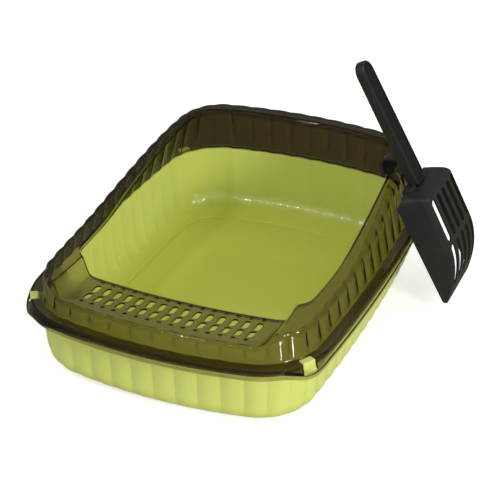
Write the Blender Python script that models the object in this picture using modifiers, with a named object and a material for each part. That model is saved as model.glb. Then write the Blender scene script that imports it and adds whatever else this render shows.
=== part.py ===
"""Semi-enclosed litter box: a fluted tray, a clip-on surround and a hanging scoop.

Metres, +Z up. The origin is on the ground under the middle of the tray. The low
entry side with the perforated ledge faces -Y, and the scoop hangs on the +X side.
"""
import math

import bmesh
import bpy
from mathutils import Vector

# Plan outline, taken at the edge of the surround's flange
FLANGE_WIDTH = 0.360
FLANGE_LENGTH = 0.4886
SIDE_BOW_RADIUS = 2.180
END_BOW_RADIUS = 0.545
CORNER_RADIUS = 0.082
FLANGE_HEIGHT = 0.0839

# Flutes, shared by the tray and the surround
FLUTES_PER_QUARTER = 14
FLUTE_DEPTH = 0.0018
FLUTE_STEPS = 4
PLAIN_STEPS = (5, 12, 6)

# Fits
SEAT_GAP = 0.0003
WINDOW_GAP = 0.0012
HOOK_LIP_GAP = 0.0007
OVERRUN = 0.004
MERGE_DISTANCE = 0.00001

# Tray
TRAY_WALL = 0.0022
RIM_EDGE_INSET = 0.0030
RIM_TURNDOWN = 0.0055
TRAY_WALL_INSET = 0.0135
TRAY_DRAFT = 0.0041
COVE_HEIGHT = 0.0230
COVE_SWEEP = math.radians(80)
COVE_ROW_SHARES = (0.4, 0.7)
COVE_FLUTE_SHARE = 0.5
FLOOR_SIDE_INSET = 0.0385
FLOOR_FRONT_INSET = 0.0385
FLOOR_BACK_INSET = 0.0510
FLOOR_CORNER_RADIUS = 0.050

# Lugs that the surround's straps snap under
LUG_TURN = math.radians(30.4)
LUG_WIDTH = 0.0155
LUG_DEPTH = 0.0087
LUG_HEIGHT = 0.0100
LUG_EDGE = 0.0008

# Surround
SURROUND_WALL = 0.0020
SKIRT_FLARE = 0.0033
SKIRT_DROP = 0.0108
STRIP_HEIGHT = 0.0044
STRIP_STEP = 0.0007
FLANGE_ROUND = 0.0013
FLANGE_REACH = 0.0117
WALL_LEAN = 0.20
BACK_WALL_LEAN = 0.01
FRONT_RISE = 0.019
SIDE_RISE = 0.028
BACK_RISE = 0.064
RISE_START_Y = -0.100
RISE_END_Y = 0.180
SHOULDER_FRONT_RADIUS = 0.0050
SHOULDER_BACK_RADIUS = 0.0100
OPENING_INSET = 0.0387
LIP_ROUND = 0.0040
LIP_DROP = 0.0062
LIP_TUCK = 0.0006

# Straps under the lugs
STRAP_REACH = 0.035
STRAP_DROP = 0.0068
STRAP_FLARE = 0.0015
STRAP_GAP = 0.0020

# Perforated ledge at the entry
LEDGE_DEPTH = 0.0931
LEDGE_REAR_RISE = 0.0088
LEDGE_BOW_RADIUS = 0.680
LEDGE_CORNER_RADIUS = 0.027
HOLE_SIDES = 8
SLOT_SIDES = 10
HOLE_COLUMNS = 15
COLUMN_PITCH = 0.0136
HOLE_DIAMETER = 0.0048
SLOT_LENGTH = 0.0155
SLOT_WIDTH = 0.0063
FRONT_ROW_SETBACK = 0.0356
HOLE_TO_SLOT = 0.0150
SLOT_TO_SLOT = 0.0196

# The riser between ledge and side bands, as places along the outlines
OUTER_PLACE_SHARES = (0.0, 1.0, 1.62, 1.92, 3.0)
OPENING_PLACE_SHARES = (0.0, 1.0, 1.62, 2.08, 3.0)
RISER_SHARES = (1.62, 1.92)

# Scoop, measured from the point where its hook sits on the band
HOOK_Y = 0.1188
SCOOP_LEAN = math.radians(27.5)
SCOOP_STANDOFF = 0.0266
HANDLE_ABOVE_HOOK = 0.1361
HANDLE_LENGTH = 0.1571
HANDLE_WIDTH = 0.0283
HANDLE_TOP_SET_IN = 0.0049
HANDLE_FOOT_SET_IN = 0.0016
HANDLE_THIN = 0.0110
HANDLE_THICK = 0.0130
HANDLE_CROWN = 0.0012
HANDLE_EDGE = 0.0013
HANDLE_CORNER = 0.0045
HANDLE_END_STEPS = 14
HANDLE_CORNER_STEPS = 3
CROWN_INSET_SHARES = (0.45, 0.80)
CROWN_RISE_SHARES = (0.75, 1.0)

# Scoop pan
PAN_WALL = 0.0020
PAN_OVERLAP = 0.0025
PAN_LENGTH = 0.1407
PAN_WIDTH = 0.0982
PAN_DEPTH = 0.0310
PAN_TOE_SET_BACK = 0.0020
PAN_FLAT_SHARE = 0.50
PAN_REAR_SLOPE = 0.0100
PAN_CORNER = 0.0200
PAN_SIDE_TAPER = 0.0030
PAN_FOLD = 0.0100
PAN_RIM_START = 0.0120
PAN_RIM_RISE = 0.0042
PAN_RIM_BOW = 0.0046
PAN_FOLD_TURNS = (0.0, math.pi / 6.0, math.pi / 3.0, math.pi / 2.0)
PAN_STEPS = 6
PAN_SLOT_COLUMNS = 5
PAN_SLOT_PITCH = 0.0177
PAN_SLOT_WIDTH = 0.0110
PAN_SLOT_START_SHARE = 0.112
PAN_SLOT_SHARE = 0.376
PAN_BRIDGE_SHARE = 0.036
PAN_TOE_SLOT_SHARE = 0.345

# Cradle that holds the end of the handle on the pan
CRADLE_LENGTH = 0.0042
CRADLE_WIDTH = 0.0610
CRADLE_CHEEK = 0.0081
CRADLE_WALL = 0.0022

# Hook on the back of the handle
HOOK_WIDTH = 0.0117
HOOK_RISE = 0.0225
HOOK_THICKNESS = 0.0030
HOOK_BEND_RADIUS = 0.0100
HOOK_BACK = 0.0082
HOOK_LEG_DROP = 0.0022
HOOK_BEND_STEPS = 6
HOOK_RIB_WIDTH = 0.0040
HOOK_SEAT = 0.0070
HOOK_GUSSET = 0.0070


def smooth(value):
    """Ease from 0 to 1 with flat ends."""
    value = min(max(value, 0.0), 1.0)
    return value * value * (3.0 - 2.0 * value)


def mix(start, end, share):
    return start + (end - start) * share


def look_up(value, keys, values):
    """Straight-line value of a table of shares."""
    for low, high, first, last in zip(keys, keys[1:], values, values[1:]):
        if value <= high:
            return mix(first, last, (value - low) / (high - low))
    return values[-1]


def round_over(distance, radius):
    """How far a quarter-round edge stands back at a distance from its end."""
    if distance >= radius:
        return 0.0
    return radius - math.sqrt(radius**2 - (radius - distance) ** 2)


def quarter_arcs(half_width, half_length, side_radius, end_radius, corner_radius):
    """Centre, radius, start and end angle of the side, corner and end arcs for x, y > 0."""
    side_centre = Vector((half_width - side_radius, 0.0))
    end_centre = Vector((0.0, half_length - end_radius))
    span = end_centre - side_centre
    to_side = side_radius - corner_radius
    to_end = end_radius - corner_radius
    along = (to_side**2 - to_end**2 + span.length_squared) / (2.0 * span.length)
    across = math.sqrt(to_side**2 - along**2)
    direction = span.normalized()
    corner_centre = side_centre + along * direction + across * Vector((-direction.y, direction.x))
    reach_side = corner_centre - side_centre
    reach_end = corner_centre - end_centre
    first = math.atan2(reach_side.y, reach_side.x)
    last = math.atan2(reach_end.y, reach_end.x)
    return (
        (side_centre, side_radius, 0.0, first),
        (corner_centre, corner_radius, first, last),
        (end_centre, end_radius, last, math.pi / 2.0),
    )


def inset_arcs(side, end, corner_radius):
    """The plan's arcs drawn in by one inset at the sides and another at the ends."""
    return quarter_arcs(
        FLANGE_WIDTH / 2.0 - side,
        FLANGE_LENGTH / 2.0 - end,
        SIDE_BOW_RADIUS - side,
        END_BOW_RADIUS - end,
        corner_radius,
    )


def arc_point(arcs, place, inset=0.0):
    """Point of the right half. Places run from -3 (front) over 0 (side) to 3 (back)."""
    size = abs(place)
    index = min(int(size), 2)
    centre, radius, start, end = arcs[index]
    angle = mix(start, end, size - index)
    x = centre.x + (radius - inset) * math.cos(angle)
    y = centre.y + (radius - inset) * math.sin(angle)
    if size >= 3.0:
        x = 0.0
    return Vector((x, math.copysign(y, place)))


BODY = inset_arcs(0.0, 0.0, CORNER_RADIUS)
FLOOR_FRONT = inset_arcs(FLOOR_SIDE_INSET, FLOOR_FRONT_INSET, FLOOR_CORNER_RADIUS)
FLOOR_BACK = inset_arcs(FLOOR_SIDE_INSET, FLOOR_BACK_INSET, FLOOR_CORNER_RADIUS)
ENTRY = quarter_arcs(
    FLANGE_WIDTH / 2.0 - OPENING_INSET,
    FLANGE_LENGTH / 2.0 - LEDGE_DEPTH,
    SIDE_BOW_RADIUS - OPENING_INSET,
    LEDGE_BOW_RADIUS,
    LEDGE_CORNER_RADIUS,
)
RIM_Z = FLANGE_HEIGHT - SURROUND_WALL - SEAT_GAP
FLOOR_Z = TRAY_WALL


def floor_point(place):
    return arc_point(FLOOR_BACK if place > 0.0 else FLOOR_FRONT, place)


def opening_point(place):
    """Edge of the surround's opening: the drawn-in plan, with the ledge across its front."""
    if place >= 0.0:
        return arc_point(BODY, place, OPENING_INSET)
    return arc_point(ENTRY, -look_up(-place, OUTER_PLACE_SHARES, OPENING_PLACE_SHARES))


def plain_stations():
    """Stations of a smooth row, as (place, wave) with a wave of 1 all along."""
    places = [arc + step / steps for arc, steps in enumerate(PLAIN_STEPS) for step in range(steps)]
    places.append(3.0)
    return [(-place, 1.0) for place in reversed(places)] + [(place, 1.0) for place in places[1:]]


def fluted_stations():
    """Stations at even lengths along the wall. The wave is 0 in a valley and 1 on a crest."""
    lengths = [(radius - FLANGE_REACH) * (end - start) for _, radius, start, end in BODY]
    total = FLUTES_PER_QUARTER * FLUTE_STEPS
    stations = []
    for step in range(-total, total + 1):
        left = sum(lengths) * abs(step) / total
        arc = 0
        while arc < 2 and left > lengths[arc]:
            left -= lengths[arc]
            arc += 1
        place = math.copysign(min(arc + left / lengths[arc], 3.0), step)
        stations.append((place, abs(math.sin(math.pi * step / FLUTE_STEPS))))
    return stations


def loft(mesh, lower, upper):
    """Skin the strip between two rows of (place, vertex), whose stations may differ."""
    i = 0
    j = 0
    while i < len(lower) - 1 or j < len(upper) - 1:
        next_lower = lower[i + 1][0] if i < len(lower) - 1 else math.inf
        next_upper = upper[j + 1][0] if j < len(upper) - 1 else math.inf
        corners = [lower[i][1]]
        if next_lower <= next_upper:
            i += 1
            corners.append(lower[i][1])
        if next_upper <= next_lower:
            corners.append(upper[j + 1][1])
        corners.append(upper[j][1])
        if next_upper <= next_lower:
            j += 1
        mesh.faces.new(corners)


def add_object(name, mesh, collection):
    data = bpy.data.meshes.new(name)
    mesh.to_mesh(data)
    mesh.free()
    thing = bpy.data.objects.new(name, data)
    collection.objects.link(thing)
    return thing


def lofted_skin(name, rows, collection, closed_end=False):
    """Open skin through rows of (stations, point), with point(place, wave) giving x, y, z."""
    mesh = bmesh.new()
    made = []
    for stations, point in rows:
        made.append([(place, mesh.verts.new(point(place, wave))) for place, wave in stations])
    for lower, upper in zip(made, made[1:]):
        loft(mesh, lower, upper)
    if closed_end:
        mesh.faces.new([vertex for _, vertex in made[-1]])
    return add_object(name, mesh, collection)


def mirror(thing, axis):
    modifier = thing.modifiers.new("Mirror", "MIRROR")
    modifier.use_axis = [index == axis for index in range(3)]
    modifier.merge_threshold = MERGE_DISTANCE


def add_wall(thing, thickness):
    """Thickness on the side away from the skin's normals."""
    modifier = thing.modifiers.new("Wall", "SOLIDIFY")
    modifier.thickness = thickness
    modifier.offset = -1.0
    modifier.use_even_offset = True


def boolean(thing, tool, operation):
    modifier = thing.modifiers.new(tool.name, "BOOLEAN")
    modifier.operation = operation
    modifier.solver = "EXACT"
    modifier.object = tool
    tool.hide_render = True
    tool.display_type = "WIRE"


def bevel(thing, width):
    modifier = thing.modifiers.new("Edges", "BEVEL")
    modifier.width = width
    modifier.segments = 1


def set_material(thing, name, colour, roughness, alpha=1.0):
    material = bpy.data.materials.new(name)
    material.use_nodes = True
    shader = material.node_tree.nodes["Principled BSDF"]
    shader.inputs["Base Color"].default_value = (*colour, 1.0)
    shader.inputs["Roughness"].default_value = roughness
    shader.inputs["Metallic"].default_value = 0.0
    shader.inputs["Alpha"].default_value = alpha
    thing.data.materials.append(material)
    thing.data.shade_smooth()
    thing.data.set_sharp_from_angle(angle=math.radians(35))


def add_block(mesh, low, high):
    """Box between two corners."""
    verts = bmesh.ops.create_cube(mesh, size=1.0)["verts"]
    size = high - low
    bmesh.ops.scale(mesh, verts=verts, vec=size)
    bmesh.ops.translate(mesh, verts=verts, vec=(low + high) / 2.0)
    return verts


def add_stadium(mesh, centre, length, width, height, sides):
    """Upright prism with round ends, its length along Y."""
    made = bmesh.ops.create_cone(
        mesh,
        cap_ends=True,
        segments=sides,
        radius1=width / 2.0,
        radius2=width / 2.0,
        depth=height,
    )
    for vertex in made["verts"]:
        angle = math.atan2(vertex.co.y, vertex.co.x) + math.pi / sides
        vertex.co.x = width / 2.0 * math.cos(angle)
        vertex.co.y = width / 2.0 * math.sin(angle)
        vertex.co.y += math.copysign((length - width) / 2.0, vertex.co.y)
    bmesh.ops.translate(mesh, verts=made["verts"], vec=centre)
    return made["verts"]


def rise_share(place):
    """How far the band has climbed from the sides to the back."""
    y = arc_point(BODY, place).y
    return smooth((y - RISE_START_Y) / (RISE_END_Y - RISE_START_Y))


def band_rise(place):
    return mix(SIDE_RISE, BACK_RISE, rise_share(place))


def shoulder_radius(place):
    return mix(SHOULDER_FRONT_RADIUS, SHOULDER_BACK_RADIUS, rise_share(place))


def ledge_rise(y):
    """The ledge falls in a plane from the front shoulder to the opening."""
    front = FLANGE_REACH - FLANGE_LENGTH / 2.0
    rear = LEDGE_DEPTH - FLANGE_LENGTH / 2.0
    return mix(FRONT_RISE, LEDGE_REAR_RISE, (y - front) / (rear - front))


def deck_rise(place, y):
    """Height of the deck over the flange."""
    if place > 0.0:
        return band_rise(place)
    top, foot = RISER_SHARES
    return mix(ledge_rise(y), band_rise(place), smooth((foot + place) / (foot - top)))


def crown_rise(place):
    """Height of the shoulder over the flange."""
    y = arc_point(BODY, place, FLANGE_REACH).y
    return deck_rise(place, y)


def strap_share(place):
    """1 at a strap's middle and 0 away from it."""
    corner, radius, start, end = BODY[1]
    middle = 1.0 + (LUG_TURN - start) / (end - start)
    reach = STRAP_REACH / (radius * (end - start))
    away = min(abs(abs(place) - middle) / reach, 1.0)
    return math.cos(away * math.pi / 2.0) ** 2


def outline_row(inset, z, flare=0.0, drop=0.0):
    """Smooth row; flare and drop push it out and down at the straps."""

    def point(place, wave):
        strap = strap_share(place)
        flat = arc_point(BODY, place, inset - flare * strap)
        return Vector((flat.x, flat.y, z - drop * strap))

    return plain_stations(), point


def wall_inset(place, rise):
    """The wall leans inwards, but hardly at all along the back."""
    return FLANGE_REACH + rise * mix(WALL_LEAN, BACK_WALL_LEAN, smooth(place - 1.0))


def wall_row(top):
    """Fluted row at the foot or at the top of the surround's wall."""

    def point(place, wave):
        rise = crown_rise(place) - shoulder_radius(place) if top else 0.0
        inset = wall_inset(place, rise) + FLUTE_DEPTH * (1.0 - wave)
        flat = arc_point(BODY, place, inset)
        return Vector((flat.x, flat.y, FLANGE_HEIGHT + rise))

    return fluted_stations(), point


def shoulder_inset(place, turn):
    radius = shoulder_radius(place)
    start = wall_inset(place, crown_rise(place) - radius)
    return start + FLUTE_DEPTH / 2.0 * math.cos(turn) + radius * (1.0 - math.cos(turn))


def shoulder_row(turn):
    """Row on the rounded shoulder, turned up from the wall by an angle."""

    def point(place, wave):
        flat = arc_point(BODY, place, shoulder_inset(place, turn))
        rise = crown_rise(place) - shoulder_radius(place) * (1.0 - math.sin(turn))
        return Vector((flat.x, flat.y, FLANGE_HEIGHT + rise))

    return plain_stations(), point


def shoulder_top_row():
    """Row where the shoulder meets the deck."""

    def point(place, wave):
        flat = arc_point(BODY, place, shoulder_inset(place, math.pi / 2.0))
        return Vector((flat.x, flat.y, FLANGE_HEIGHT + deck_rise(place, flat.y)))

    return plain_stations(), point


def opening_row(inward, down):
    """Row beside the opening's edge, at a distance into the opening and below the deck."""

    def point(place, wave):
        outer = arc_point(BODY, place, shoulder_inset(place, math.pi / 2.0))
        edge = opening_point(place)
        flat = edge + inward * (edge - outer).normalized()
        if abs(place) >= 3.0:
            flat.x = 0.0
        return Vector((flat.x, flat.y, FLANGE_HEIGHT + deck_rise(place, edge.y) - down))

    return plain_stations(), point


def edge_row(turn):
    """Row on the round between the deck and the lip."""
    return opening_row(LIP_ROUND * (math.sin(turn) - 1.0), LIP_ROUND * (1.0 - math.cos(turn)))


def each_corner():
    """Centre and outward direction of the lug at each of the four corners."""
    for side in (-1.0, 1.0):
        for end in (-1.0, 1.0):
            centre = BODY[1][0]
            yield (
                Vector((side * centre.x, end * centre.y, 0.0)),
                Vector((side * math.cos(LUG_TURN), end * math.sin(LUG_TURN), 0.0)),
            )


def corner_blocks(name, inner, outer, width, bottom, top, collection):
    """Four blocks across the rim, one at each lug, between two insets."""
    mesh = bmesh.new()
    for centre, outward in each_corner():
        low = Vector((CORNER_RADIUS - inner, -width / 2.0, bottom))
        high = Vector((CORNER_RADIUS - outer, width / 2.0, top))
        verts = add_block(mesh, low, high)
        turn = outward.to_2d().angle_signed(Vector((1.0, 0.0)))
        for vertex in verts:
            x, y, z = vertex.co
            vertex.co.x = centre.x + x * math.cos(turn) - y * math.sin(turn)
            vertex.co.y = centre.y + x * math.sin(turn) + y * math.cos(turn)
    return add_object(name, mesh, collection)


def cove_row(turn, flute_share):
    """Row on the cove between wall and floor; the flutes run out along it."""
    stations = fluted_stations() if flute_share > 0.0 else plain_stations()
    across = (1.0 - math.cos(turn)) / (1.0 - math.cos(COVE_SWEEP))
    down = math.sin(turn) / math.sin(COVE_SWEEP)

    def point(place, wave):
        inset = TRAY_WALL_INSET + TRAY_DRAFT + FLUTE_DEPTH * flute_share * (1.0 - wave)
        flat = arc_point(BODY, place, inset).lerp(floor_point(place), across)
        return Vector((flat.x, flat.y, FLOOR_Z + COVE_HEIGHT * (1.0 - down)))

    return stations, point


def tray_wall_top(place, wave):
    flat = arc_point(BODY, place, TRAY_WALL_INSET + FLUTE_DEPTH * (1.0 - wave))
    return Vector((flat.x, flat.y, RIM_Z))


def make_tray(parts, cutters):
    """Fluted tray with a turned-down rim and four lugs; its skin is the inner face."""
    rows = [
        outline_row(RIM_EDGE_INSET, RIM_Z - RIM_TURNDOWN),
        outline_row(RIM_EDGE_INSET, RIM_Z),
        (fluted_stations(), tray_wall_top),
        cove_row(0.0, 1.0),
        cove_row(COVE_SWEEP * COVE_ROW_SHARES[0], 1.0),
        cove_row(COVE_SWEEP * COVE_ROW_SHARES[1], COVE_FLUTE_SHARE),
        cove_row(COVE_SWEEP, 0.0),
    ]
    tray = lofted_skin("tray", rows, parts, closed_end=True)
    mirror(tray, 0)
    add_wall(tray, TRAY_WALL)
    top = FLANGE_HEIGHT + SEAT_GAP
    lugs = corner_blocks(
        "tray_lugs", SEAT_GAP + LUG_DEPTH, SEAT_GAP, LUG_WIDTH, top - LUG_HEIGHT, top, cutters
    )
    bevel(lugs, LUG_EDGE)
    boolean(tray, lugs, "UNION")
    set_material(tray, "lime plastic", (0.55, 0.62, 0.16), 0.35)
    return tray


def ledge_holes(cutters):
    """Cutters for four bowed rows: round holes, two rows of slots and round holes."""
    mesh = bmesh.new()
    setback = FRONT_ROW_SETBACK
    rows = [(setback, HOLE_DIAMETER, HOLE_DIAMETER, HOLE_SIDES)]
    setback += HOLE_TO_SLOT
    rows.append((setback, SLOT_LENGTH, SLOT_WIDTH, SLOT_SIDES))
    setback += SLOT_TO_SLOT
    rows.append((setback, SLOT_LENGTH, SLOT_WIDTH, SLOT_SIDES))
    setback += HOLE_TO_SLOT
    rows.append((setback, HOLE_DIAMETER, HOLE_DIAMETER, HOLE_SIDES))
    height = 2.0 * (FRONT_RISE + OVERRUN)
    for column in range(HOLE_COLUMNS):
        x = (column - (HOLE_COLUMNS - 1) / 2.0) * COLUMN_PITCH
        bow = LEDGE_BOW_RADIUS - math.sqrt(LEDGE_BOW_RADIUS**2 - x**2)
        for setback, length, width, sides in rows:
            y = setback - FLANGE_LENGTH / 2.0 + bow
            centre = Vector((x, y, FLANGE_HEIGHT + ledge_rise(y)))
            add_stadium(mesh, centre, length, width, height, sides)
    return add_object("ledge_holes", mesh, cutters)


def make_surround(parts, cutters):
    """Clip-on surround: skirt, flange, fluted wall, shoulder, deck with ledge, and lip."""
    rows = [
        outline_row(-SKIRT_FLARE, FLANGE_HEIGHT - SKIRT_DROP, STRAP_FLARE, STRAP_DROP),
        outline_row(
            -SKIRT_FLARE, FLANGE_HEIGHT - SKIRT_DROP + STRIP_HEIGHT, STRAP_FLARE, STRAP_DROP
        ),
        outline_row(
            STRIP_STEP - SKIRT_FLARE,
            FLANGE_HEIGHT - SKIRT_DROP + STRIP_HEIGHT + STRIP_STEP,
            STRAP_FLARE,
            STRAP_DROP,
        ),
        outline_row(0.0, FLANGE_HEIGHT - FLANGE_ROUND),
        outline_row(FLANGE_ROUND, FLANGE_HEIGHT),
        wall_row(top=False),
        wall_row(top=True),
        shoulder_row(math.pi / 4.0),
        shoulder_top_row(),
        edge_row(0.0),
        edge_row(math.pi / 4.0),
        edge_row(math.pi / 2.0),
        opening_row(LIP_TUCK, LIP_DROP),
    ]
    surround = lofted_skin("surround", rows, parts)
    mirror(surround, 0)
    add_wall(surround, SURROUND_WALL)
    windows = corner_blocks(
        "lug_windows",
        SEAT_GAP + LUG_DEPTH + WINDOW_GAP,
        -SKIRT_FLARE - STRAP_FLARE - OVERRUN,
        LUG_WIDTH + 2.0 * WINDOW_GAP,
        FLANGE_HEIGHT + SEAT_GAP - LUG_HEIGHT - STRAP_GAP,
        FLANGE_HEIGHT + OVERRUN,
        cutters,
    )
    boolean(surround, windows, "DIFFERENCE")
    boolean(surround, ledge_holes(cutters), "DIFFERENCE")
    set_material(surround, "smoky plastic", (0.035, 0.025, 0.012), 0.12, 0.5)
    return surround


def hook_place():
    """Place along the side arc at the hook's Y."""
    return math.asin(HOOK_Y / (SIDE_BOW_RADIUS - OPENING_INSET)) / BODY[0][3]


def hanging_point():
    """Where the hook sits: the opening's edge, clear of the band's highest point under it."""
    place = hook_place()
    reach = place * (HOOK_WIDTH / 2.0) / HOOK_Y
    edge = opening_point(place + reach)
    height = FLANGE_HEIGHT + band_rise(place + reach) + SEAT_GAP
    return Vector((edge.x, HOOK_Y, height))


def handle_inner(down):
    """How far out the handle's inner face lies, at a distance below its top."""
    return SCOOP_STANDOFF - mix(HANDLE_TOP_SET_IN, HANDLE_FOOT_SET_IN, down / HANDLE_LENGTH)


def handle_outer(down):
    return handle_inner(down) + mix(HANDLE_THIN, HANDLE_THICK, down / HANDLE_LENGTH)


def handle_outline(inset):
    """Outline with a round top and rounded foot corners, as (across, down) points."""
    half = HANDLE_WIDTH / 2.0 - inset
    points = []
    for step in range(HANDLE_END_STEPS + 1):
        turn = math.pi * step / HANDLE_END_STEPS
        points.append((half * math.cos(turn), HANDLE_WIDTH / 2.0 - half * math.sin(turn)))
    corner = min(HANDLE_CORNER, half)
    foot = HANDLE_LENGTH - inset
    for side in (-1.0, 1.0):
        for step in range(HANDLE_CORNER_STEPS + 1):
            turn = math.pi / 2.0 * step / HANDLE_CORNER_STEPS
            if side > 0.0:
                turn = math.pi / 2.0 - turn
            across = side * (half - corner + corner * math.cos(turn))
            points.append((across, foot - corner + corner * math.sin(turn)))
    return points


def handle_levels():
    """Insets of the outline, each with a function that gives how far out it lies."""
    levels = [
        (HANDLE_EDGE, handle_inner),
        (0.0, lambda down: handle_inner(down) + HANDLE_EDGE),
        (0.0, lambda down: handle_outer(down) - HANDLE_EDGE),
        (HANDLE_EDGE, handle_outer),
    ]
    for inset, rise in zip(CROWN_INSET_SHARES, CROWN_RISE_SHARES):
        crown = HANDLE_CROWN * rise
        levels.append(
            (HANDLE_WIDTH / 2.0 * inset, lambda down, crown=crown: handle_outer(down) + crown)
        )
    return levels


def make_handle(parts, cutters, scoop):
    """Bar with a crowned outer face and a round top, and a hook on its inner face."""
    mesh = bmesh.new()
    rings = []
    for inset, out in handle_levels():
        ring = []
        for across, down in handle_outline(inset):
            ring.append(mesh.verts.new((out(down), across, HANDLE_ABOVE_HOOK - down)))
        rings.append(ring)
    for inner, outer in zip(rings, rings[1:]):
        for index in range(len(inner)):
            after = (index + 1) % len(inner)
            mesh.faces.new((inner[index], inner[after], outer[after], outer[index]))
    mesh.faces.new(reversed(rings[0]))
    mesh.faces.new(rings[-1])
    handle = add_object("scoop_handle", mesh, parts)
    handle.parent = scoop
    boolean(handle, flat_solid("hook", hook_outline(), HOOK_WIDTH, cutters), "UNION")
    boolean(handle, flat_solid("hook_rib", rib_outline(), HOOK_RIB_WIDTH, cutters), "UNION")
    set_material(handle, "black handle plastic", (0.03, 0.03, 0.03), 0.45)
    return handle


def hook_root():
    """How far out the hook reaches into the handle."""
    return SCOOP_STANDOFF - HOOK_RISE * math.tan(SCOOP_LEAN) / 2.0


def hook_bend(radius):
    """Quarter turn of the hook, from its top to the start of its leg."""
    centre_x = HOOK_BEND_RADIUS - HOOK_BACK
    centre_z = HOOK_RISE - HOOK_BEND_RADIUS
    points = []
    for step in range(HOOK_BEND_STEPS + 1):
        turn = math.pi / 2.0 * (1.0 + step / HOOK_BEND_STEPS)
        points.append((centre_x + radius * math.cos(turn), centre_z + radius * math.sin(turn)))
    return points


def hook_outline():
    """Side view of the curled strip, with its seat at the origin and its mouth downwards."""
    leg_inner = -LIP_TUCK - HOOK_LIP_GAP
    points = [(hook_root(), HOOK_RISE)]
    points += hook_bend(HOOK_BEND_RADIUS)
    points.append((leg_inner - HOOK_THICKNESS, -HOOK_LEG_DROP))
    points.append((leg_inner, -HOOK_LEG_DROP))
    points.append((leg_inner, 0.0))
    points += reversed(hook_bend(HOOK_BEND_RADIUS - HOOK_THICKNESS))
    points.append((hook_root(), HOOK_RISE - HOOK_THICKNESS))
    return points


def rib_outline():
    """Side view of the rib inside the strip, whose foot sits on the band."""
    leg_inner = -LIP_TUCK - HOOK_LIP_GAP
    middle = hook_bend(HOOK_BEND_RADIUS - HOOK_THICKNESS / 2.0)
    points = [(leg_inner - HOOK_THICKNESS / 2.0, 0.0), (HOOK_SEAT, 0.0)]
    points.append((HOOK_SEAT + HOOK_GUSSET, HOOK_RISE - HOOK_THICKNESS / 2.0))
    return points + middle


def flat_solid(name, points, width, cutters):
    """Solid of one width from a side view, standing upright at the hanging point."""
    curve = bpy.data.curves.new(name, "CURVE")
    curve.dimensions = "2D"
    curve.fill_mode = "BOTH"
    curve.extrude = width / 2.0
    spline = curve.splines.new("POLY")
    spline.points.add(len(points) - 1)
    for target, (x, z) in zip(spline.points, points):
        target.co = (x, z, 0.0, 1.0)
    spline.use_cyclic_u = True
    drawn = bpy.data.objects.new(name, curve)
    bpy.context.scene.collection.objects.link(drawn)
    drawn.rotation_euler = (math.pi / 2.0, 0.0, 0.0)
    drawn.location = hanging_point()
    bpy.context.view_layer.update()
    evaluated = drawn.evaluated_get(bpy.context.evaluated_depsgraph_get())
    data = bpy.data.meshes.new_from_object(evaluated)
    mesh = bmesh.new()
    mesh.from_mesh(data)
    bmesh.ops.remove_doubles(mesh, verts=mesh.verts[:], dist=MERGE_DISTANCE)
    mesh.to_mesh(data)
    mesh.free()
    solid = bpy.data.objects.new(name + "_solid", data)
    cutters.objects.link(solid)
    solid.matrix_world = drawn.matrix_world
    bpy.data.objects.remove(drawn)
    return solid


def pan_z(run):
    """Local height at a distance from the pan's rear edge."""
    return HANDLE_ABOVE_HOOK - HANDLE_LENGTH + PAN_OVERLAP - run


def pan_fold_share(turn):
    """How far down the wall a point on the fold lies."""
    fold = PAN_FOLD / PAN_DEPTH
    return 1.0 - fold + fold * math.sin(turn)


def pan_profile():
    """Runs from the rear edge with the depth reached there."""
    profile = [(0.0, 0.0)]
    for turn in PAN_FOLD_TURNS:
        share = pan_fold_share(turn)
        run = PAN_REAR_SLOPE * share + PAN_FOLD * (1.0 - math.cos(turn)) / 2.0
        profile.append((run, PAN_DEPTH * share))
    for step in range(PAN_STEPS + 1):
        share = step / PAN_STEPS
        run = mix(PAN_FLAT_SHARE * PAN_LENGTH, PAN_LENGTH, share)
        profile.append((run, mix(PAN_DEPTH, -PAN_TOE_SET_BACK, share**2)))
    return profile


def pan_section(run, depth):
    """Half section of the pan's outer face from rim to middle, as (out, across) points."""
    half = PAN_WIDTH / 2.0 - round_over(run, PAN_CORNER)
    bow = PAN_RIM_RISE + PAN_RIM_BOW * (1.0 - run / PAN_LENGTH)
    rim = -bow * smooth(run / PAN_RIM_START)
    section = [(rim, half)]
    for turn in PAN_FOLD_TURNS:
        across = half - PAN_SIDE_TAPER - PAN_FOLD * (1.0 - math.cos(turn))
        section.append((mix(rim, depth, pan_fold_share(turn)), across))
    section.append((depth, 0.0))
    return section


def pan_slots(scoop, cutters):
    """Cutters for the two rows of long slots through the pan."""
    mesh = bmesh.new()
    toe_start = PAN_SLOT_START_SHARE + PAN_SLOT_SHARE + PAN_BRIDGE_SHARE
    rows = [(PAN_SLOT_START_SHARE, PAN_SLOT_SHARE), (toe_start, PAN_TOE_SLOT_SHARE)]
    height = 2.0 * (PAN_DEPTH + OVERRUN)
    for column in range(PAN_SLOT_COLUMNS):
        across = (column - (PAN_SLOT_COLUMNS - 1) / 2.0) * PAN_SLOT_PITCH
        for start, share in rows:
            centre = Vector((0.0, 0.0, 0.0))
            length = share * PAN_LENGTH
            verts = add_stadium(mesh, centre, length, PAN_SLOT_WIDTH, height, SLOT_SIDES)
            middle = pan_z(start * PAN_LENGTH + length / 2.0)
            for vertex in verts:
                x, y, z = vertex.co
                vertex.co = (SCOOP_STANDOFF + PAN_DEPTH + z, across + x, middle + y)
    slots = add_object("pan_slots", mesh, cutters)
    slots.parent = scoop
    return slots


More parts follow.
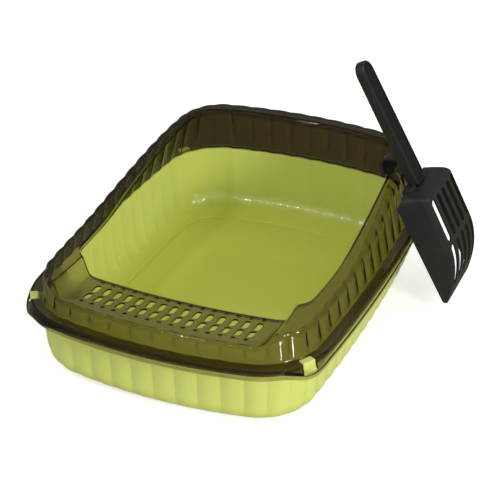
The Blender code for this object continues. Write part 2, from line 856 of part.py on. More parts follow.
def pan_block(name, half_width, floor, top, upper, lower, scoop, cutters):
    """Block at the foot of the handle, in the scoop's own frame."""
    mesh = bmesh.new()
    foot = HANDLE_ABOVE_HOOK - HANDLE_LENGTH
    low = Vector((SCOOP_STANDOFF + floor, -half_width, foot - lower))
    high = Vector((SCOOP_STANDOFF + top, half_width, foot + upper))
    add_block(mesh, low, high)
    block = add_object(name, mesh, cutters)
    block.parent = scoop
    return block


def make_pan(parts, cutters, scoop):
    """Slotted pan with folded sides, and a cradle that holds the end of the handle."""
    mesh = bmesh.new()
    rows = []
    for run, depth in pan_profile():
        row = []
        for index, (out, across) in enumerate(pan_section(run, depth)):
            point = (SCOOP_STANDOFF + out, across, pan_z(run))
            row.append((index, mesh.verts.new(point)))
        rows.append(row)
    for upper, lower in zip(rows, rows[1:]):
        loft(mesh, upper, lower)
    pan = add_object("scoop_pan", mesh, parts)
    pan.parent = scoop
    mirror(pan, 1)
    add_wall(pan, PAN_WALL)
    notch_floor = handle_inner(HANDLE_LENGTH - CRADLE_LENGTH) - SCOOP_STANDOFF - SEAT_GAP
    cradle = pan_block(
        "cradle",
        CRADLE_WIDTH / 2.0,
        notch_floor - CRADLE_WALL,
        CRADLE_CHEEK,
        CRADLE_LENGTH,
        SEAT_GAP + CRADLE_WALL,
        scoop,
        cutters,
    )
    boolean(pan, cradle, "UNION")
    notch = pan_block(
        "handle_notch",
        HANDLE_WIDTH / 2.0 + SEAT_GAP,
        notch_floor,
        PAN_DEPTH + OVERRUN,
        CRADLE_LENGTH + OVERRUN,
        SEAT_GAP,
        scoop,
        cutters,
    )
    boolean(pan, notch, "DIFFERENCE")
    boolean(pan, pan_slots(scoop, cutters), "DIFFERENCE")
    set_material(pan, "black pan plastic", (0.035, 0.034, 0.032), 0.5)
    return pan


def main():
    for thing in list(bpy.data.objects):
        bpy.data.objects.remove(thing)
    parts = bpy.data.collections.new("semi_enclosed_litter_box")
    cutters = bpy.data.collections.new("cutters")
    bpy.context.scene.collection.children.link(parts)
    bpy.context.scene.collection.children.link(cutters)
    make_tray(parts, cutters)
    make_surround(parts, cutters)
    scoop = bpy.data.objects.new("scoop_frame", None)
    parts.objects.link(scoop)
    scoop.location = hanging_point()
    scoop.rotation_euler = (0.0, -SCOOP_LEAN, 0.0)
    make_handle(parts, cutters, scoop)
    make_pan(parts, cutters, scoop)
    bpy.context.view_layer.update()


main()
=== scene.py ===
"""Semi-enclosed litter box: lime tray, smoky clip-on surround and a hanging black scoop.

Lengths are in metres. X is across, -Y is the entry, Z is up from the underside. A place runs
round the right half of the plan, from -3 (front) over 0 (side) to 3 (back). An inset is
measured inwards from the edge of the surround's flange.
"""
import math

import bmesh
import bpy
from mathutils import Matrix, Vector


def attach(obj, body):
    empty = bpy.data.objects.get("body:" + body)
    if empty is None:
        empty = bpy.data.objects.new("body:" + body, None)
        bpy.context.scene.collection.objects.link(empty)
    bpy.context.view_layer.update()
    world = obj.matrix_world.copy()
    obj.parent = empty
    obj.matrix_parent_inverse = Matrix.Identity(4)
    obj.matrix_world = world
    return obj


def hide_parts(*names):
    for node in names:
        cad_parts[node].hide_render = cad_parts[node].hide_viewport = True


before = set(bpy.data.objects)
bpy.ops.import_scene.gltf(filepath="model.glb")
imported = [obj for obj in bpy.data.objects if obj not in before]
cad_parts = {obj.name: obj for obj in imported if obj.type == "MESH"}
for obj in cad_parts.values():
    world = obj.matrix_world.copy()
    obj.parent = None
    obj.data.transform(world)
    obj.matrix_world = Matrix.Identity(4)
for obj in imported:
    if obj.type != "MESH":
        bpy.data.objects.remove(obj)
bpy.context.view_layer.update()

# Camera
CAMERA_PLACE = (0.6043, -1.4066, 0.9726)
CAMERA_FORWARD = (-0.33324, 0.79524, -0.50649)
CAMERA_ROLL = 0.0045
CAMERA_LENS = 110.5
CAMERA_SENSOR = 36.0

# Plan outline at the edge of the surround's flange
PLACE_END = 3.0
FLANGE_WIDTH = 0.360
FLANGE_LENGTH = 0.4886
SIDE_BOW_RADIUS = 2.180
END_BOW_RADIUS = 0.545
CORNER_RADIUS = 0.082
FLANGE_HEIGHT = 0.0839

# Flutes, shared by the tray and the surround
FLUTES_PER_QUARTER = 14
FLUTE_DEPTH = 0.0018
FLUTE_STEPS = 12
SEAT_GAP = 0.0003

# Tray
TRAY_WALL = 0.0022
TRAY_WALL_INSET = 0.0135
TRAY_WALL_STEPS = 6
TRAY_DRAFT = 0.0041
INNER_FLUTE_SHARE = 0.35
RIM_EDGE_INSET = 0.0030
RIM_TURNDOWN = 0.0055
RIM_ROUND = 0.0012
RIM_STEPS = 4
COVE_HEIGHT = 0.0230
COVE_SWEEP = math.radians(80)
COVE_STEPS = 22
DOME_START = 0.38
DOME_LENGTH = 0.30
FLOOR_SIDE_INSET = 0.0385
FLOOR_FRONT_INSET = 0.0385
FLOOR_BACK_INSET = 0.0510
FLOOR_CORNER_RADIUS = 0.050

# Groove round the tray's floor, and its section as shares of its width and depth
FLOOR_GROOVE = 0.0012
FLOOR_GROOVE_WIDTH = 0.0050
FLOOR_GROOVE_SHARES = ((1.0, 0.0), (0.7, 0.7), (0.4, 1.0))

# Lugs and the straps that snap under them
LUG_TURN = math.radians(30.4)
LUG_WIDTH = 0.0155
LUG_DEPTH = 0.0087
LUG_HEIGHT = 0.0100
LUG_EDGE = 0.0010
WINDOW_GAP = 0.0012
STRAP_REACH = 0.035
STRAP_DROP = 0.0068
STRAP_FLARE = 0.0015
STRAP_GAP = 0.0020

# Surround's skirt, from its hem over the strip along it to the flange
SURROUND_WALL = 0.0020
SKIRT_FLARE = 0.0033
SKIRT_DROP = 0.0108
SKIRT_WALL = 0.0064
SIDE_SKIRT_WALL = 0.0015
SIDE_SKIRT_END = 0.8
SKIRT_STEPS = 3
HEM_ROUND = 0.0005
HEM_STEPS = 3
STRIP_HEIGHT = 0.0044
STRIP_STEP = 0.0007
STRIP_WALL = 0.0012
STRIP_ROUND_STEPS = 2
FLANGE_ROUND = 0.0013
FLANGE_ROUND_STEPS = 5
FLANGE_REACH = 0.0117

# Surround's fluted wall and shoulder
FOOT_ROUND = 0.0018
FOOT_STEPS = 4
WALL_LEAN = 0.20
BACK_WALL_LEAN = 0.01
WALL_STEPS = 4
VALLEY_RIB = 0.0009
VALLEY_RIB_START = 0.70
FRONT_RISE = 0.019
SIDE_RISE = 0.028
BACK_RISE = 0.064
RISE_START_Y = -0.100
RISE_END_Y = 0.180
SHOULDER_FRONT_RADIUS = 0.0050
SHOULDER_BACK_RADIUS = 0.0100
SHOULDER_STEPS = 10
FLUTE_FADE_START = 0.80

# Surround's band and the lip round its opening
DECK_STEPS = 8
OPENING_INSET = 0.0387
LIP_ROUND = 0.0040
LIP_STEPS = 6
LIP_DROP = 0.0062
LIP_TUCK = 0.0006

# Matching places on the outer and the opening's outline, and the riser's places
OUTER_PLACE_SHARES = (0.0, 1.0, 1.62, 1.92, PLACE_END)
OPENING_PLACE_SHARES = (0.0, 1.0, 1.62, 2.08, PLACE_END)
RISER_SHARES = (1.62, 1.92)

# Perforated ledge
LEDGE_DEPTH = 0.0931
LEDGE_REAR_RISE = 0.0088
LEDGE_BOW_RADIUS = 0.680
LEDGE_CORNER_RADIUS = 0.027
HOLE_SIDES = 32
HOLE_COLUMNS = 15
COLUMN_PITCH = 0.0136
HOLE_DIAMETER = 0.0048
SLOT_LENGTH = 0.0168
SLOT_WIDTH = 0.0070
FRONT_ROW_SETBACK = 0.0356
HOLE_TO_SLOT = 0.0150
SLOT_TO_SLOT = 0.0196

# Scoop, measured from the point where its hook sits on the band
HOOK_Y = 0.1188
SCOOP_LEAN = math.radians(27.5)
SCOOP_STANDOFF = 0.0266
HANDLE_ABOVE_HOOK = 0.1361
HANDLE_LENGTH = 0.1571
HANDLE_WIDTH = 0.0283
HANDLE_TOP_SET_IN = 0.0049
HANDLE_FOOT_SET_IN = 0.0016
HANDLE_THIN = 0.0110
HANDLE_THICK = 0.0130
HANDLE_EDGE = 0.0018
HANDLE_EDGE_STEPS = 4
HANDLE_CORNER = 0.0045
HANDLE_CORNER_STEPS = 6
HANDLE_END_STEPS = 40

# Sunk outer face of the handle, inside a thin rim
HANDLE_RIM = 0.0006
HANDLE_RIM_LEVEL = 2 * (HANDLE_EDGE_STEPS + 1)
HANDLE_SINK = 0.0014
HANDLE_CORE_SHARE = 0.45
SINK_STEPS = 5

# Hook on the back of the handle
HOOK_WIDTH = 0.0117
HOOK_RISE = 0.0225
HOOK_THICKNESS = 0.0030
HOOK_BEND_RADIUS = 0.0100
HOOK_BEND_STEPS = 16
HOOK_BACK = 0.0082
HOOK_LEG_DROP = 0.0022
HOOK_LIP_GAP = 0.0007
HOOK_LEG = -LIP_TUCK - HOOK_LIP_GAP
HOOK_RIB_WIDTH = 0.0016
HOOK_SEAT = 0.0070
HOOK_GUSSET = 0.0070

# Scoop pan
PAN_WALL = 0.0020
PAN_OVERLAP = 0.0025
PAN_LENGTH = 0.1407
PAN_WIDTH = 0.0982
PAN_DEPTH = 0.0308
PAN_TOE_SET_BACK = 0.0020
PAN_FLAT_SHARE = 0.50
PAN_REAR_SLOPE = 0.0100
PAN_CORNER = 0.0120
PAN_TOE_CORNER = 0.0080
PAN_SIDE_TAPER = 0.0030
PAN_SIDE_STEPS = 4
PAN_FOLD = 0.0080
PAN_FOLD_STEPS = 10
PAN_FLAT_STEPS = 8
PAN_STEPS = 30
PAN_RIM_START = 0.0120
PAN_RIM_RISE = 0.0042
PAN_RIM_BOW = 0.0046
PAN_SLOT_COLUMNS = 5
PAN_SLOT_PITCH = 0.0177
PAN_SLOT_WIDTH = 0.0100
PAN_SLOT_START_SHARE = 0.112
PAN_SLOT_SHARE = 0.376
PAN_BRIDGE_SHARE = 0.036
PAN_TOE_SLOT_SHARE = 0.345

# Cradle that holds the end of the handle on the pan
CRADLE_LENGTH = 0.0042
CRADLE_WIDTH = 0.0610
CRADLE_CHEEK = 0.0081
CRADLE_WALL = 0.0022
CRADLE_EDGE = 0.0010

# Cutting and cleaning the meshes
OVERRUN = 0.004
EDGE_SEGMENTS = 3
PAINTED_SHADE_FACING = -0.25
# Hole walls that face the entry side by at least this much keep the painted edge shade
MERGE_DISTANCE = 1e-6
SHARP_ANGLE = math.radians(22)

# Plastics: shader inputs, and pairs of colours or roughnesses with a noise between them
NOISE_BAND = (0.3, 0.7)
LIME_FINISH = {
    "Coat Weight": 0.4,
    "Coat Roughness": 0.05,
    "Sheen Weight": 0.25,
    "Sheen Roughness": 0.4,
}
LIME_FLOOR = ((0.655, 0.735, 0.082), (0.685, 0.765, 0.095))
# Painted sheen: the walls take a paler colour than the floor, though the plastic is one colour
LIME_WALLS_PAINTED_SHEEN = ((0.65, 0.72, 0.15), (0.68, 0.75, 0.17))
LIME_ROUGHNESS = (0.30, 0.40)
LIME_STREAKS = (1.0, 1.0, 0.2)
SMOKY_FINISH = {"Base Color": (1.0, 1.0, 1.0, 1.0), "Transmission Weight": 1.0, "IOR": 1.42}
SMOKY_TINT = {"Color": (0.435, 0.35, 0.075, 1.0), "Density": 620.0}
SMOKY_ROUGHNESS = (0.008, 0.03)
# Painted shade: a dark opaque colour for the cut walls of the ledge's holes
EDGE_PAINTED_SHADE_TONES = ((0.006, 0.005, 0.002), (0.012, 0.010, 0.004))
EDGE_ROUGHNESS = (0.25, 0.4)
BLACK_FINISH = {"Specular IOR Level": 0.4}
HANDLE_BLACK = ((0.014, 0.014, 0.014), (0.018, 0.018, 0.018))
HANDLE_ROUGHNESS = (0.38, 0.48)
# Painted shade: a darker black for the handle's sunk face and the hook's rib
RECESS_PAINTED_SHADE = ((0.003, 0.003, 0.003), (0.005, 0.005, 0.005))
RECESS_ROUGHNESS = (0.60, 0.70)
PAN_BLACK = ((0.015, 0.0145, 0.014), (0.019, 0.0185, 0.018))
PAN_ROUGHNESS = (0.48, 0.58)

# Floor and world: colour and strength of what each kind of ray meets
WHITE = (1.0, 1.0, 1.0)
FLOOR_SIZE = 12.0
FLOOR_DROP = 0.0004
FLOOR_GREY = (0.75, 0.75, 0.75, 1.0)
FLOOR_GLOW = (WHITE, 0.62)
FLOOR_REFLECTED = ((1.0, 0.92, 0.7), 0.3)
WORLD_DIRECT = (WHITE, 1.0)
WORLD_ROOM = (WHITE, 0.64)
WORLD_REFLECTED = ((1.0, 0.95, 0.8), 0.3)
# Painted shade: the floor and world turn dark for the camera's view through the clear plastic
SEEN_THROUGH_PAINTED_DARK = ((1.0, 0.70, 0.56), 0.05)

# Lamps: name, place, target, width and height, power, lights surfaces, shows in reflections
BOX_MIDDLE = (0.0, 0.0, 0.1)
CORNER_FLANGE = (0.1356, -0.2044, 0.0993)
CORNER_WALL = (0.137, -0.197, 0.111)
LAMPS = (
    ("key", (2.1, -1.05, 0.9), BOX_MIDDLE, (0.5, 0.5), 28.0, True, False),
    ("fill", (-0.75, -1.1, 1.75), BOX_MIDDLE, (0.13, 0.13), 4.5, True, True),
    ("edge_strip", (-0.2, -1.3, 1.9), BOX_MIDDLE, (2.0, 0.06), 7.0, False, True),
    ("corner_strip", (0.348, -0.337, 0.040), CORNER_FLANGE, (0.012, 0.040), 0.07, False, True),
    ("corner_top", (0.945, 0.097, 1.34), CORNER_WALL, (0.25, 0.25), 6.0, False, True),
)


def smooth(value):
    value = min(max(value, 0.0), 1.0)
    return value * value * (3.0 - 2.0 * value)


def mix(start, end, share):
    return start + (end - start) * share


def look_up(value, keys, values):
    """Value read off a line through the points (key, value)."""
    for low, high, first, last in zip(keys, keys[1:], values, values[1:]):
        if value <= high:
            return mix(first, last, (value - low) / (high - low))
    return values[-1]


def quarter_turns(steps):
    """Even angles from 0 to a right angle."""
    return [math.pi / 2.0 * step / steps for step in range(steps + 1)]


def quarter_arcs(half_width, half_length, side_radius, end_radius, corner_radius):
    """Centre, radius, start and end angle of the side, corner and end arcs for x, y > 0."""
    side_centre = Vector((half_width - side_radius, 0.0))
    end_centre = Vector((0.0, half_length - end_radius))
    span = end_centre - side_centre
    to_side = side_radius - corner_radius
    to_end = end_radius - corner_radius
    along = (to_side**2 - to_end**2 + span.length_squared) / (2.0 * span.length)
    across = math.sqrt(to_side**2 - along**2)
    direction = span.normalized()
    aside = Vector((-direction.y, direction.x))
    corner_centre = side_centre + along * direction + across * aside
    first = math.atan2(*(corner_centre - side_centre).yx)
    last = math.atan2(*(corner_centre - end_centre).yx)
    return (
        (side_centre, side_radius, 0.0, first),
        (corner_centre, corner_radius, first, last),
        (end_centre, end_radius, last, math.pi / 2.0),
    )


def inset_arcs(side, end, corner_radius):
    """Outline that stands in from the flange's edge by different amounts at side and end."""
    return quarter_arcs(
        FLANGE_WIDTH / 2.0 - side,
        FLANGE_LENGTH / 2.0 - end,
        SIDE_BOW_RADIUS - side,
        END_BOW_RADIUS - end,
        corner_radius,
    )


def arc_point(arcs, place, inset=0.0):
    """Point of the right half of an outline at a place, set in from it."""
    size = abs(place)
    index = min(int(size), len(arcs) - 1)
    centre, radius, start, end = arcs[index]
    angle = mix(start, end, size - index)
    x = centre.x + (radius - inset) * math.cos(angle)
    y = centre.y + (radius - inset) * math.sin(angle)
    if size >= PLACE_END:
        x = 0.0
    return Vector((x, math.copysign(y, place)))


BODY = inset_arcs(0.0, 0.0, CORNER_RADIUS)
FLOOR_FRONT = inset_arcs(FLOOR_SIDE_INSET, FLOOR_FRONT_INSET, FLOOR_CORNER_RADIUS)
FLOOR_BACK = inset_arcs(FLOOR_SIDE_INSET, FLOOR_BACK_INSET, FLOOR_CORNER_RADIUS)
ENTRY = quarter_arcs(
    FLANGE_WIDTH / 2.0 - OPENING_INSET,
    FLANGE_LENGTH / 2.0 - LEDGE_DEPTH,
    SIDE_BOW_RADIUS - OPENING_INSET,
    LEDGE_BOW_RADIUS,
    LEDGE_CORNER_RADIUS,
)
RIM_Z = FLANGE_HEIGHT - SURROUND_WALL - SEAT_GAP
FLOOR_Z = TRAY_WALL


def floor_point(place, inset=0.0):
    return arc_point(FLOOR_BACK if place > 0.0 else FLOOR_FRONT, place, inset)


def opening_point(place):
    if place >= 0.0:
        return arc_point(BODY, place, OPENING_INSET)
    return arc_point(ENTRY, -look_up(-place, OUTER_PLACE_SHARES, OPENING_PLACE_SHARES))


def stations():
    """(place, across) at even lengths along the wall; across runs from -1 to 1 over a flute."""
    lengths = [(radius - FLANGE_REACH) * (end - start) for _, radius, start, end in BODY]
    total = FLUTES_PER_QUARTER * FLUTE_STEPS
    made = []
    for step in range(-total, total + 1):
        left = sum(lengths) * abs(step) / total
        index = 0
        while index < len(lengths) - 1 and left > lengths[index]:
            left -= lengths[index]
            index += 1
        place = math.copysign(min(index + left / lengths[index], PLACE_END), step)
        made.append((place, 2.0 * (step % FLUTE_STEPS) / FLUTE_STEPS - 1.0))
    return made


def at(place, inset, z):
    """Point in space from a place round the surround's outline, an inset and a height."""
    return Vector((*arc_point(BODY, place, inset), z))


def arc(centre, radius, start, end, steps):
    """Points of a rounded edge in a section, as (inset, height)."""
    points = []
    for step in range(steps + 1):
        angle = math.radians(mix(start, end, step / steps))
        inset = centre[0] + radius * math.cos(angle)
        points.append((inset, centre[1] + radius * math.sin(angle)))
    return points


def line(start, end, steps):
    """Points strictly between two section points."""
    return [
        (mix(start[0], end[0], step / steps), mix(start[1], end[1], step / steps))
        for step in range(1, steps)
    ]


def add_object(name, data):
    made = bpy.data.objects.new(name, data)
    bpy.context.scene.collection.objects.link(made)
    return made


def from_bmesh(name, mesh, material, matrix=Matrix.Identity(4)):
    """Object with outward normals from a mesh, moved by a matrix."""
    data = bpy.data.meshes.new(name)
    bmesh.ops.transform(mesh, matrix=matrix, verts=mesh.verts[:])
    bmesh.ops.recalc_face_normals(mesh, faces=mesh.faces[:])
    mesh.to_mesh(data)
    mesh.free()
    data.materials.append(material)
    return add_object(name, data)


def ring_piece(name, section, material, capped):
    """Closed body from one section per station, on both sides of the middle plane."""
    ring = [section(place, across) for place, across in stations()]
    for column in ring[-2:0:-1]:
        ring.append([Vector((-point.x, point.y, point.z)) for point in column])
    count = len(ring[0])
    verts = [tuple(point) for column in ring for point in column]
    faces = []
    for index in range(len(ring)):
        here = index * count
        there = (index + 1) % len(ring) * count
        for row in range(count - 1 if capped else count):
            after = (row + 1) % count
            faces.append((here + row, here + after, there + after, there + row))
    if capped:
        faces.append([index * count for index in range(len(ring))])
        faces.append([index * count + count - 1 for index in reversed(range(len(ring)))])
    data = bpy.data.meshes.new(name)
    data.from_pydata(verts, [], faces)
    mesh = bmesh.new()
    mesh.from_mesh(data)
    bpy.data.meshes.remove(data)
    return from_bmesh(name, mesh, material)


def add_band(mesh, near, far, slot=0):
    """Quads between two closed rings of vertices."""
    for index in range(len(near)):
        after = (index + 1) % len(near)
        face = mesh.faces.new((near[index], near[after], far[after], far[index]))
        face.material_index = slot


def make_prism(name, near, far, material, matrix):
    """Prism between two like outlines."""
    mesh = bmesh.new()
    sides = [[mesh.verts.new(point) for point in outline] for outline in (near, far)]
    for side in sides:
        mesh.faces.new(side)
    add_band(mesh, *sides)
    return from_bmesh(name, mesh, material, matrix)


def add_block(mesh, size, middle):
    made = bmesh.ops.create_cube(mesh, size=1.0)["verts"]
    bmesh.ops.scale(mesh, verts=made, vec=size)
    bmesh.ops.translate(mesh, verts=made, vec=middle)
    return made


def round_edges(mesh, size):
    edges = mesh.edges[:]
    if size > 0.0:
        bmesh.ops.bevel(
            mesh, geom=edges, offset=size, segments=EDGE_SEGMENTS, profile=0.5, affect="EDGES"
        )


def drop_flakes(data):
    """Removes pairs of faces with the same corners, which enclose nothing."""
    mesh = bmesh.new()
    mesh.from_mesh(data)
    bmesh.ops.remove_doubles(mesh, verts=mesh.verts[:], dist=MERGE_DISTANCE)
    bmesh.ops.triangulate(mesh, faces=mesh.faces[:])
    same = {}
    for face in mesh.faces:
        same.setdefault(frozenset(face.verts), []).append(face)
    flakes = [face for faces in same.values() if len(faces) > 1 for face in faces]
    bmesh.ops.delete(mesh, geom=flakes, context="FACES")
    mesh.to_mesh(data)
    mesh.free()


def finish_shape(piece):
    """Cleans a mesh, and shades it smooth but for its sharp edges."""
    drop_flakes(piece.data)
    piece.data.shade_smooth()
    piece.data.set_sharp_from_angle(angle=SHARP_ANGLE)


def carve(piece, tool, operation):
    """Joins, cuts or keeps the piece by a tool, which is used up."""
    modifier = piece.modifiers.new("carve", "BOOLEAN")
    modifier.operation = operation
    modifier.solver = "EXACT"
    modifier.object = tool
    modifier.material_mode = "TRANSFER"
    bpy.context.view_layer.update()
    evaluated = piece.evaluated_get(bpy.context.evaluated_depsgraph_get())
    data = bpy.data.meshes.new_from_object(evaluated)
    piece.modifiers.clear()
    piece.data = data
    bpy.data.objects.remove(tool)


def join(piece, other):
    """Adds the other's faces to the piece as a shell of its own."""
    mesh = bmesh.new()
    mesh.from_mesh(piece.data)
    mesh.from_mesh(other.data)
    mesh.to_mesh(piece.data)
    mesh.free()
    bpy.data.objects.remove(other)


def rise_share(place):
    """How far the band has risen from its low front to the back."""
    y = arc_point(BODY, place).y
    return smooth((y - RISE_START_Y) / (RISE_END_Y - RISE_START_Y))


def band_rise(place):
    return mix(SIDE_RISE, BACK_RISE, rise_share(place))


def shoulder_radius(place):
    return mix(SHOULDER_FRONT_RADIUS, SHOULDER_BACK_RADIUS, rise_share(place))


def ledge_rise(y):
    """Height of the perforated ledge over the flange."""
    front = FLANGE_REACH - FLANGE_LENGTH / 2.0
    rear = LEDGE_DEPTH - FLANGE_LENGTH / 2.0
    return mix(FRONT_RISE, LEDGE_REAR_RISE, (y - front) / (rear - front))


def deck_rise(place, y):
    """Height of band, riser or ledge over the flange."""
    if place > 0.0:
        return band_rise(place)
    top, foot = RISER_SHARES
    return mix(ledge_rise(y), band_rise(place), smooth((foot + place) / (foot - top)))


def crown_rise(place):
    return deck_rise(place, arc_point(BODY, place, FLANGE_REACH).y)


def strap_share(place):
    """1 in the middle of a snap strap, and 0 away from it."""
    _, radius, start, end = BODY[1]
    middle = 1.0 + (LUG_TURN - start) / (end - start)
    reach = STRAP_REACH / (radius * (end - start))
    away = min(abs(abs(place) - middle) / reach, 1.0)
    return math.cos(away * math.pi / 2.0) ** 2


def wall_inset(place, rise):
    """Inset of the leaning wall at a rise over the flange."""
    return FLANGE_REACH + rise * mix(WALL_LEAN, BACK_WALL_LEAN, smooth(place - 1.0))


def flute(across):
    """Bulge of a flute: 0 in the valleys and 1 on the crest."""
    return math.cos(across * math.pi / 2.0)


def skirt_section(place):
    """Outer face of skirt and flange edge, then the inner face, as (inset, height)."""
    strap = strap_share(place)
    hem = -SKIRT_FLARE - STRAP_FLARE * strap
    low = FLANGE_HEIGHT - SKIRT_DROP - STRAP_DROP * strap
    strip = low + STRIP_HEIGHT
    edge = FLANGE_HEIGHT - FLANGE_ROUND
    outer = [(hem + STRIP_WALL / 2.0, low)]
    outer += arc((hem + HEM_ROUND, low + HEM_ROUND), HEM_ROUND, 270, 180, HEM_STEPS)
    upper = (hem + HEM_ROUND, strip - HEM_ROUND)
    outer += arc(upper, HEM_ROUND, 180, 120, STRIP_ROUND_STEPS)
    outer.append((hem + STRIP_STEP, strip + STRIP_STEP))
    outer += line(outer[-1], (0.0, edge), SKIRT_STEPS)
    outer += arc((FLANGE_ROUND, edge), FLANGE_ROUND, 180, 90, FLANGE_ROUND_STEPS)
    inner = [
        (hem + STRIP_WALL - HEM_ROUND / 2.0, low),
        (hem + STRIP_WALL, low + HEM_ROUND / 2.0),
        (hem + STRIP_WALL, strip),
    ]
    wall = mix(SIDE_SKIRT_WALL, SKIRT_WALL, smooth(abs(place) - SIDE_SKIRT_END))
    inner.append((hem + STRIP_STEP + wall, strip + STRIP_STEP * 2.0))
    under = FLANGE_HEIGHT - SURROUND_WALL
    inner.append((RIM_EDGE_INSET - SEAT_GAP, under - FLANGE_ROUND))
    inner.append((RIM_EDGE_INSET, under))
    return outer, inner


def wall_sections(place, across):
    """Outer and inner face from the foot of the fluted wall to the shoulder's top."""
    groove = FLUTE_DEPTH * (1.0 - flute(across))
    in_valley = (abs(across) - VALLEY_RIB_START) / (1.0 - VALLEY_RIB_START)
    rib = VALLEY_RIB * smooth(in_valley)
    radius = shoulder_radius(place)
    rise = crown_rise(place) - radius
    foot = wall_inset(place, FOOT_ROUND) + groove
    centre = (foot - FOOT_ROUND, FLANGE_HEIGHT + FOOT_ROUND)
    outer = arc(centre, FOOT_ROUND, -90, 0, FOOT_STEPS)
    inner = arc(centre, FOOT_ROUND + SURROUND_WALL, -90, 0, FOOT_STEPS)
    for step in range(1, WALL_STEPS + 1):
        height = mix(FOOT_ROUND, rise, step / WALL_STEPS)
        outer.append((wall_inset(place, height) + groove, FLANGE_HEIGHT + height))
        height = mix(FOOT_ROUND, rise - SURROUND_WALL, step / WALL_STEPS)
        inset = wall_inset(place, height) + groove + SURROUND_WALL + rib
        inner.append((inset, FLANGE_HEIGHT + height))
    start = wall_inset(place, rise)
    for step in range(1, SHOULDER_STEPS):
        share = step / SHOULDER_STEPS
        turn = math.pi / 2.0 * share
        fade = 1.0 - smooth((share - FLUTE_FADE_START) / (1.0 - FLUTE_FADE_START))
        base = start + groove * fade + radius
        inset = base - radius * math.cos(turn)
        height = FLANGE_HEIGHT + rise + radius * math.sin(turn)
        outer.append((inset, height))
        inner.append((inset + SURROUND_WALL, height - SURROUND_WALL))
    return outer, inner


def deck_sections(place):
    """Upper and lower face from the shoulder's top over the deck to the end of the lip."""
    radius = shoulder_radius(place)
    start = arc_point(BODY, place, wall_inset(place, crown_rise(place) - radius) + radius)
    edge = opening_point(place)
    inward = (edge - start).normalized()
    if abs(place) >= PLACE_END:
        inward.x = 0.0
    top = FLANGE_HEIGHT + deck_rise(place, edge.y)
    turn_in = edge - LIP_ROUND * inward
    upper = []
    lower = []
    for step in range(DECK_STEPS):
        flat = start.lerp(turn_in, step / DECK_STEPS)
        height = FLANGE_HEIGHT + deck_rise(place, flat.y)
        height = mix(height, top, smooth(step / DECK_STEPS))
        upper.append(Vector((*flat, height)))
        if step == 0:
            flat = flat + inward * SURROUND_WALL
        lower.append(Vector((*flat, height - SURROUND_WALL)))
    for face, size in ((upper, LIP_ROUND), (lower, LIP_ROUND - SURROUND_WALL)):
        for turn in quarter_turns(LIP_STEPS):
            flat = edge + inward * (size * math.sin(turn) - LIP_ROUND)
            face.append(Vector((*flat, top - LIP_ROUND + size * math.cos(turn))))
    for face, offset in ((upper, LIP_TUCK), (lower, LIP_TUCK - SURROUND_WALL)):
        away = HEM_ROUND if offset < 0.0 else -HEM_ROUND
        for shift, drop in ((0.0, LIP_DROP - HEM_ROUND), (away, LIP_DROP)):
            flat = edge + inward * (offset + shift)
            face.append(Vector((*flat, top - drop)))
    return upper, lower


def surround_section(place, across):
    """Closed section of the surround: outer faces up and inwards, inner faces back."""
    skirt_outer, skirt_inner = skirt_section(place)
    wall_outer, wall_inner = wall_sections(place, across)
    upper, lower = deck_sections(place)
    outer = [at(place, inset, z) for inset, z in skirt_outer + wall_outer] + upper
    inner = [at(place, inset, z) for inset, z in skirt_inner + wall_inner] + lower
    return outer + inner[::-1]


def corner_blocks(name, insets, width, heights, edge, material):
    """Four blocks across the rim, one at each lug, between two insets and two heights."""
    mesh = bmesh.new()
    inner, outer = insets
    bottom, top = heights
    size = Vector((inner - outer, width, top - bottom))
    middle = Vector((CORNER_RADIUS - (inner + outer) / 2.0, 0.0, (bottom + top) / 2.0))
    for side in (-1.0, 1.0):
        for end in (-1.0, 1.0):
            made = add_block(mesh, size, middle)
            turn = math.atan2(end * math.sin(LUG_TURN), side * math.cos(LUG_TURN))
            centre = Vector((side * BODY[1][0].x, end * BODY[1][0].y, 0.0))
            place = Matrix.Translation(centre) @ Matrix.Rotation(turn, 4, "Z")
            bmesh.ops.transform(mesh, matrix=place, verts=made)
    round_edges(mesh, edge)
    return from_bmesh(name, mesh, material)


def add_stadium(mesh, centre, length, width, height):
    """Upright prism with round ends, its length along Y."""
    radius = width / 2.0
    made = bmesh.ops.create_cone(
        mesh, cap_ends=True, segments=HOLE_SIDES, radius1=radius, radius2=radius, depth=height
    )["verts"]
    for vert in made:
        angle = math.atan2(vert.co.y, vert.co.x) + math.pi / HOLE_SIDES
        vert.co.x = radius * math.cos(angle)
        vert.co.y = radius * math.sin(angle)
        vert.co.y += math.copysign((length - width) / 2.0, vert.co.y)
    bmesh.ops.translate(mesh, verts=made, vec=centre)
    return made


def ledge_holes(material):
    """Tools for the ledge's columns, each a hole, two slots and another hole."""
    mesh = bmesh.new()
    height = 2.0 * (FRONT_RISE + OVERRUN)
    for column in range(HOLE_COLUMNS):
        x = (column - (HOLE_COLUMNS - 1) / 2.0) * COLUMN_PITCH
        bow = LEDGE_BOW_RADIUS - math.sqrt(LEDGE_BOW_RADIUS**2 - x**2)
        setback = FRONT_ROW_SETBACK
        for step, length, width in (
            (0.0, HOLE_DIAMETER, HOLE_DIAMETER),
            (HOLE_TO_SLOT, SLOT_LENGTH, SLOT_WIDTH),
            (SLOT_TO_SLOT, SLOT_LENGTH, SLOT_WIDTH),
            (HOLE_TO_SLOT, HOLE_DIAMETER, HOLE_DIAMETER),
        ):
            setback += step
            y = setback - FLANGE_LENGTH / 2.0 + bow
            centre = Vector((x, y, FLANGE_HEIGHT + ledge_rise(y)))
            add_stadium(mesh, centre, length, width, height)
    return from_bmesh("ledge_holes", mesh, material)


def keep_painted_shade_on_far_walls(piece, edge):
    """Leaves the painted shade of the dark edge only on the hole walls that face the entry
    side.
    """
    slots = [slot.material for slot in piece.material_slots]
    dark = slots.index(edge)
    for face in piece.data.polygons:
        if face.material_index == dark and face.normal.y > PAINTED_SHADE_FACING:
            face.material_index = 0


